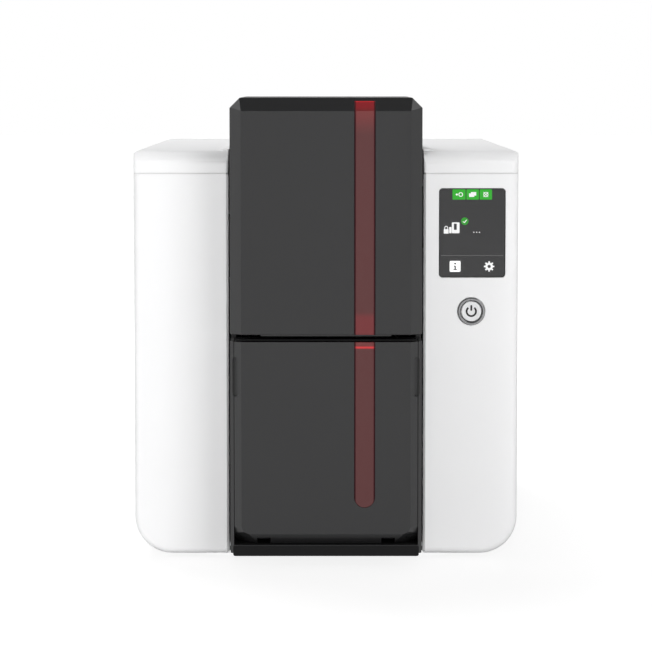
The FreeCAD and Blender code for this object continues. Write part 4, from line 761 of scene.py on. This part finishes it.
def gear_outline(centre, root, tip, teeth):
    """The outline of a settings wheel with square teeth."""
    step = 360 / teeth
    flanks = ((root, -0.27), (tip, -0.17), (tip, 0.17), (root, 0.27))
    return [on_circle(centre, radius, step * number + step * share)
            for number in range(teeth) for radius, share in flanks]


def glass_sign(name, outline, material, layers=2):
    """A flat sign on the glass from an outline."""
    sign = pushed(name, [spot(u, v, layers) for u, v in outline], Vector((0, layers * lift, 0)))
    carried(sign, material)


screen_glass, tree, shader = new_material("screen_glass")
faint = on_piece(tree, "TexNoise", {"Scale": 30.0})["Fac"]
fill_sockets(shader, {
    "Base Color": two_tones(tree, faint, (0.0130, 0.0130, 0.0138), (0.0160, 0.0160, 0.0168)),
    "Roughness": spread_over(tree, faint, 0, 1, 0.16, 0.20),
})
finish_node("screen_glass", screen_glass, 0.15)
lit_green = lit_finish("lit_green", green)
lit_white = lit_finish("lit_white", pale)
lit_grey = lit_finish("lit_grey", line_grey)
lit_dark = lit_finish("lit_dark", display_black)
card_corners = ((-1.3, 0), (-1.3, -0.8), (1.3, -0.8), (1.3, 0.8), (-1.3, 0.8), (-1.3, 0))
for number, (u0, u1) in enumerate(tile_us, 1):
    glass_tile(f"status_tile_{number}", u0, u1, *tile_vs, 0.35, lit_green)
    middle = Vector(((u0 + u1) / 2, sum(tile_vs) / 2))
    if number == 1:
        glass_sign("ribbon_sign_dot", disc(middle + Vector((-1.2, 0)), 0.55, 24), lit_white)
        glass_sign("ribbon_sign_ring", hoop(middle + Vector((0.9, 0)), 1.0, 0.42), lit_white)
    elif number == 2:
        for card, shift in enumerate(((-0.5, 0.35), (0.5, -0.35)), 1):
            card_path = [middle + Vector(shift) + Vector(corner) for corner in card_corners]
            glass_sign(f"card_sign_{card}", band(card_path, 0.3), lit_white)
    else:
        glass_sign("head_sign_ring", hoop(middle, 1.15, 0.35), lit_white)
        for turn in (45, 135):
            line = arc(middle, 1.75, turn, turn + 180, 1)
            glass_sign(f"head_sign_line_{turn}", band(line, 0.3), lit_white)

shackle = [Vector((2.8, 21.5)), *arc((3.6, 20.8), 0.8, -90, 90, 10), Vector((4.4, 21.5))]
tick = [(12.5, 17.4), (13.2, 18.1), (14.5, 16.5)]
notes_stroke = [(7.7, 41.0), (8.8, 41.0), (8.8, 42.9), (9.4, 42.9), (9.4, 43.4), (7.5, 43.4), (7.5, 42.9),
                (8.1, 42.9), (8.1, 41.5), (7.7, 41.5)]
wheel_middle = (26.55, 41.4)
glass_tile("printer_sign", 6.6, 10.7, 17.9, 23.7, 0.5, lit_white, 2)
glass_tile("printer_sign_tray", 5.2, 6.45, 20.4, 23.7, 0.3, lit_white, 2)
glass_tile("printer_sign_slot", 7.7, 9.2, 18.6, 21.9, 0.2, lit_dark, 3)
glass_tile("lock_sign_body", 2.3, 4.9, 21.5, 23.9, 0.3, lit_white, 2)
glass_sign("lock_sign_shackle", band(shackle, 0.42), lit_white)
glass_sign("ready_disc", disc((13.47, 17.3), 1.98, 48), lit_green)
glass_sign("ready_tick", band(tick, 0.5), lit_white, 3)
for number in range(3):
    glass_sign(f"wait_dot_{number + 1}", disc((18.3 + 1.5 * number, 23.2), 0.3, 18), lit_white)
glass_tile("divider", 0.9, 34.0, 35.45, 35.75, 0.1, lit_grey)
glass_tile("notes_tile", 5.5, 11.3, 38.45, 44.3, 0.65, lit_white)
glass_sign("notes_dot", disc((8.4, 39.9), 0.5, 18), lit_dark)
glass_sign("notes_stroke", notes_stroke, lit_dark)
glass_sign("settings_wheel", gear_outline(wheel_middle, 2.05, 2.8, 8), lit_white)
glass_sign("settings_hole", disc(wheel_middle, 0.85, 24), lit_dark, 3)


# Power button
# A turned, dark anodised ring with a rounded crest, and a white push cap in it, slightly dished,
# whose black power sign is printed in the dish. The cap moves on the switch behind.
ring_profile = [(5.7, 1.0), (5.78, 0.5), (6.0, 0.18), (6.3, 0.03), (6.6, 0), (6.9, 0.03), (7.2, 0.18),
                (7.42, 0.5), (7.5, 1.0), (7.5, 3.3), (8.5, 3.3), (8.5, 4.8), (5.7, 4.8), (5.7, 1.0)]
cap_profile = [(0, 0.34), (1.5, 0.31), (3.0, 0.21), (4.2, 0.08), (4.8, 0.01), (5.05, 0.02), (5.25, 0.13),
               (5.35, 0.35), (5.35, 4.9), (7.0, 4.9), (7.0, 5.9), (0, 5.9)]
sign_front = 0.10
sign_back = 0.60
sign_radius = 2.5
sign_width = 0.98
sign_open = 39
bar_half = sign_width / 2
bar_top = -2.9
bar_foot = -0.75
ring_metal = brushed("ring_metal", (0.25, 0.25, 0.255), (0.34, 0.34, 0.345), 0.26, (6, 6, 6))
cap_plastic = moulded("cap_plastic", (0.73, 0.73, 0.74), (0.77, 0.77, 0.78), 0.35, 3000.0)
sign_ink = moulded("sign_ink", (0.003, 0.003, 0.003), (0.006, 0.006, 0.006), 0.7, 3000.0)
ring_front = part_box("power_ring")[0].y
cap_low, cap_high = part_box("power_button")
button_x = (cap_low.x + cap_high.x) / 2
button_z = (cap_low.z + cap_high.z) / 2
ring = turned("power_ring_turned", (button_x, ring_front, button_z), "y", ring_profile, 96)
carried(ring, ring_metal, replaced="power_ring")
cap = turned("power_cap", (button_x, cap_low.y, button_z), "y", cap_profile, 96)
carried(cap, cap_plastic, "power_button", "power_button")


def cap_sign(name, outline):
    """A printed sign in the cap's dish, from an outline in millimetres about its middle, down positive."""
    points = [Vector((button_x + u * mm, cap_low.y + sign_front * mm, button_z - v * mm)) for u, v in outline]
    sign = pushed(name, points, Vector((0, (sign_back - sign_front) * mm, 0)))
    carried(sign, sign_ink, "power_button")


cap_sign("power_sign_arc", band(arc((0, 0), sign_radius, sign_open, 360 - sign_open, 40), sign_width))
cap_sign("power_sign_bar",
         arc((0, bar_top), bar_half, -90, 90, 10) + arc((0, bar_foot), bar_half, 90, 270, 10))


# Screen module, magazine, card weight, tray and card guide
# Inner mouldings in dark or grey ABS, left as they come from the tool, with a coarser grain than the
# outside. Six raised marks beside the thickness slider show its setting.
dark_plastic = moulded("dark_plastic", (0.026, 0.026, 0.028), (0.036, 0.036, 0.038), 0.55, 1800.0, 0.05)
grey_plastic = moulded("grey_plastic", (0.34, 0.35, 0.36), (0.42, 0.43, 0.44), 0.48, 1800.0, 0.03)
for moulding, rounding in (("screen_module", 0.3), ("feeder_hopper", 0.4), ("output_tray", 0.4),
                           ("card_weight", 0.7), ("fan_frame", 0.4), ("fan_rotor", 0.2), ("usb_socket", 0),
                           ("power_socket", 0)):
    finish_node(moulding, dark_plastic, rounding)
for moulding, rounding in (("card_guide", 0.3), ("gauge_slider", 0.5), ("roller_bushes", 0)):
    finish_node(moulding, grey_plastic, rounding)

mark_wide = 4.0 * mm
mark_tall = 0.5 * mm
mark_proud = 0.15 * mm
mark_step = 5.0 * mm
mark_count = 6
mark_round = 0.2 * mm
mark_drop = 4.0 * mm
mark_behind = 1.5 * mm
wall_gap = 0.4 * mm
slider_low, slider_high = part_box("gauge_slider")
mark_low = Vector((slider_low.x - wall_gap, slider_high.y + mark_behind, slider_low.z - mark_drop))
first_mark = block("gauge_mark_1", mark_low, mark_low + Vector((mark_proud, mark_wide, mark_tall)))
bevel_edges(first_mark, along(0), mark_round, 2)
carried(first_mark, cap_plastic)
repeat(first_mark, [Vector((0, 0, mark_step * number)) for number in range(1, mark_count)])


# Dark pads behind the vents
# Two pads of black open-cell foam inside the rear panel: a plain one before the fan, and one with round
# corners and a hollow pressed in its front behind the free vents. Their black stands in for the shade
# inside the case behind the slots: painted shade.
pad_thick = 1.6 * mm
pad_gap = 0.4 * mm
pad_corner = 3.0 * mm
pad_half = 20.0 * mm
pad_x = 58.0 * mm
pad_z = 168.0 * mm
pad_rim = 2.0 * mm
pad_hollow = 0.7 * mm
fan_low, fan_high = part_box("fan_frame")
# Near-black foam: painted shade inside the case.
shade_foam = moulded("filter_foam", (0.006, 0.006, 0.006), (0.014, 0.014, 0.014), 0.95, 900.0, 0.6, 0.05,
               specular=0.1)
fan_filter = block("fan_filter", (fan_low.x, fan_low.y - pad_gap - pad_thick, fan_low.z),
                   (fan_high.x, fan_low.y - pad_gap, fan_high.z))
carried(fan_filter, shade_foam)
# The pad behind the free vents, black where the case is in shade: painted shade.
vent_filter = block("vent_filter", (pad_x - pad_half, fan_high.y - pad_gap - pad_thick,
                                    pad_z - pad_half),
                    (pad_x + pad_half, fan_high.y - pad_gap, pad_z + pad_half))
bevel_edges(vent_filter, along(1), pad_corner, 5)
deselect_mesh("FACE")
for face in vent_filter.data.polygons:
    face.select = face.normal.y < -0.9
set_mode("EDIT")
bpy.ops.mesh.inset(thickness=pad_rim, depth=-pad_hollow)
set_mode("OBJECT")
carried(vent_filter, shade_foam)


# Shafts, rollers and hinge pins
# Ground steel shafts with chamfered ends, and rubber sleeves ground true on them. The hinge pins are
# short lengths of the same bright bar.
axle_radius = 2.0
sleeve_inset = 14.4
round_flat = math.cos(math.pi / 24)
bright_steel = brushed("bright_steel", (0.56, 0.56, 0.57), (0.66, 0.66, 0.67), 0.24, (90, 4, 4), 40.0)
roller_rubber = moulded("roller_rubber", (0.040, 0.040, 0.043), (0.055, 0.055, 0.058), 0.62, 5200.0, 0.03)
clean_rubber = moulded("clean_rubber", (0.060, 0.12, 0.30), (0.075, 0.14, 0.34), 0.30, 900.0)


def bar_sizes(node):
    """A CAD bar's middle, and its radius and half length in millimetres."""
    low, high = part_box(node)
    return (low + high) / 2, (high.z - low.z) / 2 / mm / round_flat, (high.x - low.x) / 2 / mm


def round_bar(name, middle, radius, half, chamfer, material, slot, body, replaced=None):
    """A round bar along x with chamfered ends; the sizes are in millimetres."""
    profile = [(0, -half), (radius - chamfer, -half), (radius, -half + chamfer), (radius, half - chamfer),
               (radius - chamfer, half), (0, half)]
    carried(turned(name, middle, "x", profile, 40), material, body, replaced)


for body in ("pick", "feed", "platen", "exit"):
    for kind, material, slot, chamfer in (("shaft", bright_steel, "steel", 0.4),
                                          ("roller", roller_rubber, "rubber", 0.5)):
        node = f"{body}_{kind}"
        round_bar(f"{node}_turned", *bar_sizes(node), chamfer, material, slot, body, node)
for node, body, material in (("pinch_roller", "pinch", roller_rubber),
                             ("cleaning_roller", "cleaner", clean_rubber)):
    middle, radius, half_long = bar_sizes(node)
    round_bar(f"{node}_axle", middle, axle_radius, half_long, 0.3, bright_steel, "steel", body, node)
    round_bar(f"{node}_sleeve", middle, radius, half_long - sleeve_inset, 0.5, material, "rubber", body)
for node in ("lid_hinge_pins", "feeder_hinge_pins", "output_hinge_pins"):
    finish_node(node, bright_steel)


# Pulleys, belt and gears
# Natural acetal pulleys and gears, pressed on the shafts, and a black rubber belt round the four pulleys,
# with a tooth every two millimetres.
acetal = moulded("acetal", (0.70, 0.69, 0.66), (0.76, 0.75, 0.72), 0.32, 900.0)
for wheel in ("pick_pulley", "feed_pulley", "platen_pulley", "exit_pulley", "motor_pinion"):
    finish_node(wheel, acetal)
finish_node("platen_gear", acetal, 0.08, 1)
belt_rubber, tree, shader = new_material("belt_rubber")
teeth = on_piece(tree, "TexWave", {"Scale": 160.0, "Distortion": 0.0}, bands_direction="Y")["Fac"]
belt_tone = two_tones(tree, teeth, (0.010, 0.010, 0.010), (0.024, 0.024, 0.024))
fill_sockets(shader, {"Base Color": belt_tone, "Roughness": 0.7})
bumped(tree, shader, teeth, 0.2)
finish_node("drive_belt", belt_rubber)


# Stepping motor
# A round can with rolled edges and a stamped two-eared flange, screwed to the left frame plate.
can_radius = 18.0
ear_reach = 27.0 * mm
ear_half = 4.5 * mm
ear_round = 4.2 * mm
flange_back = 2.0 * mm
flange_thick = 1.2 * mm
ear_screw_tall = 1.8 * mm
motor_low, motor_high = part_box("drive_motor")
motor_long = (motor_high.x - motor_low.x) / mm
motor_axis = (motor_low + motor_high) / 2
motor_axis.x = motor_low.x
can_profile = [(0, 2.0), (can_radius - 0.4, 2.0), (can_radius, 2.4), (can_radius, 9.2),
               (can_radius - 0.3, 9.5), (can_radius - 0.3, 10.0), (can_radius, 10.3),
               (can_radius, motor_long - 2.4), (can_radius - 2.0, motor_long - 0.3),
               (can_radius - 3.4, motor_long), (6.4, motor_long), (6.0, motor_long - 0.9),
               (0, motor_long - 0.9)]
boss_profile = [(1.6, 0), (5.5, 0), (5.8, 0.3), (5.8, 2.0), (1.6, 2.0), (1.6, 0)]
ear_profile = [(0, 0), (2.6, 0), (2.8, 0.2), (2.8, 1.0), (2.2, 1.6), (0, 1.8)]
can_steel = brushed("can_steel", (0.40, 0.40, 0.41), (0.50, 0.50, 0.51), 0.38, (6, 60, 60), 30.0)
carried(turned("motor_can", motor_axis, "x", can_profile, 64), can_steel, replaced="drive_motor")
carried(turned("motor_boss", motor_axis, "x", boss_profile, 40), bright_steel)
flange_x = motor_axis.x + flange_back
flange = block("motor_flange", (flange_x, motor_axis.y - ear_reach, motor_axis.z - ear_half),
               (flange_x + flange_thick, motor_axis.y + ear_reach, motor_axis.z + ear_half))
bevel_edges(flange, along(0), ear_round, 6)
carried(flange, can_steel)
screw_y = motor_axis.y - ear_reach + ear_half
ear_screw_place = Vector((flange_x + flange_thick, screw_y, motor_axis.z))
ear_screw = turned("motor_screw_1", ear_screw_place, "x", ear_profile, 28)
cross_recess(ear_screw, ear_screw_place + Vector((ear_screw_tall, 0, 0)), 0)
carried(ear_screw, plated_steel)
repeat(ear_screw, [Vector((0, 2 * (ear_reach - ear_half), 0))])
finish_node("motor_shaft", bright_steel)


# Ribbon
# A colour dye ribbon: yellow, magenta, cyan, black and clear panels follow each other on a thin glossy
# film, wound on two grey spools whose ends drop into the frame plates' slots. Its sizes are in millimetres.
panel_long = 22.0
ribbon_tones = ((0.75, 0.55, 0.03), (0.55, 0.03, 0.22), (0.02, 0.28, 0.50), (0.012, 0.012, 0.014),
                (0.30, 0.30, 0.32))
core_end = 33.0
core_radius = 9.0
film_half = 30.0
ribbon, tree, shader = new_material("ribbon")
panels = len(ribbon_tones)
turns = maths(tree, "DIVIDE", on_piece(tree, "SeparateXYZ")["Y"], panel_long * panels * mm)
stops = [(number / panels, tone) for number, tone in enumerate(ribbon_tones)]
panel_tone = colour_ramp(tree, maths(tree, "FRACT", turns), stops, "CONSTANT")
fill_sockets(shader, {"Base Color": panel_tone, "Roughness": 0.22, "Coat Weight": 0.3})
wound_film = moulded("wound_film", (0.020, 0.012, 0.030), (0.050, 0.030, 0.070), 0.20, 400.0, spread=0.1,
                     tone_scale=90.0)
finish_node("ribbon_film", ribbon)
for body, wound in (("supply", 16.5), ("takeup", 14.0)):
    node = f"{body}_spool"
    spool_low, spool_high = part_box(node)
    middle = (spool_low + spool_high) / 2
    spool_end = (spool_high.x - spool_low.x) / 2 / mm
    rim = wound - 1.2
    core_profile = [(0, -spool_end), (3.5, -spool_end), (4.0, -spool_end + 0.5), (4.0, -core_end - 0.6),
                    (8.6, -core_end), (core_radius, -core_end + 0.4), (core_radius, -31.6), (rim, -31.6),
                    (rim + 0.4, -31.2), (rim + 0.4, -30.6), (rim, -30.2), (core_radius, -30.2)]
    core_profile += [(radius, -place) for radius, place in reversed(core_profile)]
    carried(turned(f"{node}_core", middle, "x", core_profile, 56), grey_plastic, body, node)
    winding = [(core_radius + 0.1, -film_half), (wound - 0.4, -film_half), (wound, -film_half + 0.4),
               (wound, film_half - 0.4), (wound - 0.4, film_half), (core_radius + 0.1, film_half)]
    carried(turned(f"{node}_winding", middle, "x", winding, 72), wound_film, body)


# Print head
# A ceramic heater line on a dark carrier under a finned aluminium block, hung from the lid by its steel
# bracket.
heater_half = 0.9 * mm
heater_forward = 1.0 * mm
heater_inset = 2.0 * mm
heater_proud = 0.1 * mm
heater_deep = 0.4 * mm
heater_round = 0.2 * mm
aluminium = brushed("aluminium", (0.70, 0.71, 0.72), (0.78, 0.79, 0.80), 0.36, (1, 1, 14))
ceramic = moulded("ceramic", (0.55, 0.42, 0.30), (0.62, 0.48, 0.34), 0.18, 900.0)
finish_node("print_head", dark_plastic, 0.2, 1)
finish_node("head_heatsink", aluminium, 0.3)
head_low, head_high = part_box("print_head")
heater_y = (head_low.y + head_high.y) / 2 - heater_forward
heater = block("heater_line", (head_low.x + heater_inset, heater_y - heater_half, head_low.z - heater_proud),
               (head_high.x - heater_inset, heater_y + heater_half, head_low.z + heater_deep))
bevel_edges(heater, along(0), heater_round)
carried(heater, ceramic, "lid")


# Circuit boards
# Glass-fibre boards under green lacquer with copper tracks. The main board holds black chips with tinned
# legs, cans and connectors, and the panel board the switch that the power cap presses.
board_thick = 1.6 * mm
skin = 0.1 * mm
chip_half = 8.0 * mm
chip_round = 0.3 * mm
leg_pitch = 1.6 * mm
leg_count = 9
leg_wide = 0.5 * mm
leg_reach = 1.4 * mm
leg_tall = 0.7 * mm
leg_round = 0.4 * mm
capacitor_inset = Vector((10.0, -24.0, 0)) * mm
capacitor_step = 11.0 * mm
capacitor_profile = [(0, 0), (3.8, 0), (4.0, 0.3), (4.0, 1.2), (3.7, 1.6), (4.0, 2.0), (4.0, 8.6),
                     (3.7, 9.0), (3.3, 9.0), (3.1, 8.8), (0, 8.8)]
header_inset = 10.0 * mm
header_half = Vector((3.0, 9.0, 0)) * mm
header_tall = Vector((0, 0, 7.0)) * mm
header_wall = Vector((0.8, 0.8, 0)) * mm
header_floor = Vector((0, 0, 1.5)) * mm
header_open = Vector((0, 0, 9.0)) * mm
switch_half = 3.1 * mm
switch_round = 0.5 * mm
circuit_board, tree, shader = new_material("circuit_board")
lacquer = {"Scale": 120.0, "Color1": (0.012, 0.10, 0.045), "Color2": (0.016, 0.12, 0.05),
           "Mortar": (0.03, 0.17, 0.07), "Mortar Size": 0.03}
tracks = on_piece(tree, "TexBrick", lacquer)
fill_sockets(shader, {"Base Color": tracks["Color"], "Roughness": 0.35})
bumped(tree, shader, tracks["Fac"], 0.03)
chip_plastic = moulded("chip_plastic", (0.016, 0.016, 0.017), (0.024, 0.024, 0.025), 0.45, 3500.0)
can_sleeve = moulded("can_sleeve", (0.02, 0.03, 0.07), (0.03, 0.04, 0.09), 0.4, 900.0)
finish_node("panel_board", circuit_board)
finish_node("main_board", circuit_board)
board_low, board_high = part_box("main_board")
board_long = board_high.y - board_low.y
board_top = board_low.z + board_thick
chip_x = (board_low.x + board_high.x) / 2
chip_reach = chip_half + skin
leg_x0 = chip_x - (leg_count - 1) / 2 * leg_pitch
leg_shifts = [Vector((count * leg_pitch, side * (2 * chip_half + leg_reach), 0))
              for side in (0, 1) for count in range(leg_count)]
for number, share in enumerate((0.25, 0.5), 1):
    chip_y = board_low.y + board_long * share
    chip = block(f"chip_{number}", (chip_x - chip_reach, chip_y - chip_reach, board_top),
                 (chip_x + chip_reach, chip_y + chip_reach, board_high.z + skin))
    bevel_edges(chip, lambda first, second: min(first.z, second.z) > board_high.z, chip_round, 2)
    carried(chip, chip_plastic)
    edge_y = chip_y - chip_half
    leg = block(f"chip_{number}_leg_1", (leg_x0 - leg_wide / 2, edge_y - leg_reach, board_top),
                (leg_x0 + leg_wide / 2, edge_y, board_top + leg_tall))
    bevel_edges(leg, lambda first, second: max(first.y, second.y) < edge_y - merge_gap
                and min(first.z, second.z) > board_top + merge_gap, leg_round, 2)
    carried(leg, plated_steel)
    repeat(leg, leg_shifts[1:])
capacitor_place = Vector((board_low.x, board_high.y, board_top)) + capacitor_inset
capacitor = turned("capacitor_1", capacitor_place, "z", capacitor_profile, 36)
carried(capacitor, can_sleeve)
repeat(capacitor, [Vector((0, -capacitor_step * number, 0)) for number in (1, 2, 3)])
for number, share in enumerate((0.2, 0.42), 1):
    foot = Vector((board_high.x - header_inset, board_low.y + board_long * share, board_top))
    header = block(f"header_{number}", foot - header_half, foot + header_half + header_tall)
    way_half = header_half - header_wall
    carve(header, block("header_way", foot - way_half + header_floor, foot + way_half + header_open))
    carried(header, cap_plastic)
panel_low, panel_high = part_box("panel_board")
switch = block("press_switch", (button_x - switch_half, panel_low.y + skin, button_z - switch_half),
               (button_x + switch_half, panel_high.y - board_thick, button_z + switch_half))
bevel_edges(switch, along(1), switch_round, 2)
carried(switch, chip_plastic)


# Sockets
# The network socket is a plated steel shell with eight gold contacts, and the data socket and the power
# inlet have black bodies. No cord is plugged in.
contact_count = 8
contact_pitch = 1.02 * mm
contact_wide = 0.45 * mm
contact_rise = 3.4 * mm
contact_tall = 1.2 * mm
contact_back = 11.9 * mm
contact_front = 3.0 * mm
contact_round = 0.5 * mm
gold = brushed("gold", (0.72, 0.50, 0.16), (0.80, 0.58, 0.22), 0.28, (4, 4, 4))
finish_node("ethernet_socket", plated_steel, 0.2, 1)
net_low, net_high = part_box("ethernet_socket")
contact_x0 = (net_low.x + net_high.x) / 2 - (contact_count - 1) / 2 * contact_pitch
contact_z = (net_low.z + net_high.z) / 2 + contact_rise
contact = block("net_contact_1",
                (contact_x0 - contact_wide / 2, net_high.y - contact_back, contact_z - contact_tall),
                (contact_x0 + contact_wide / 2, net_high.y - contact_front, contact_z))
bevel_edges(contact, lambda first, second: max(first.z, second.z) < contact_z - merge_gap
            and abs(first.y - second.y) < merge_gap, contact_round)
carried(contact, gold)
repeat(contact, [Vector((contact_pitch * number, 0, 0)) for number in range(1, contact_count)])
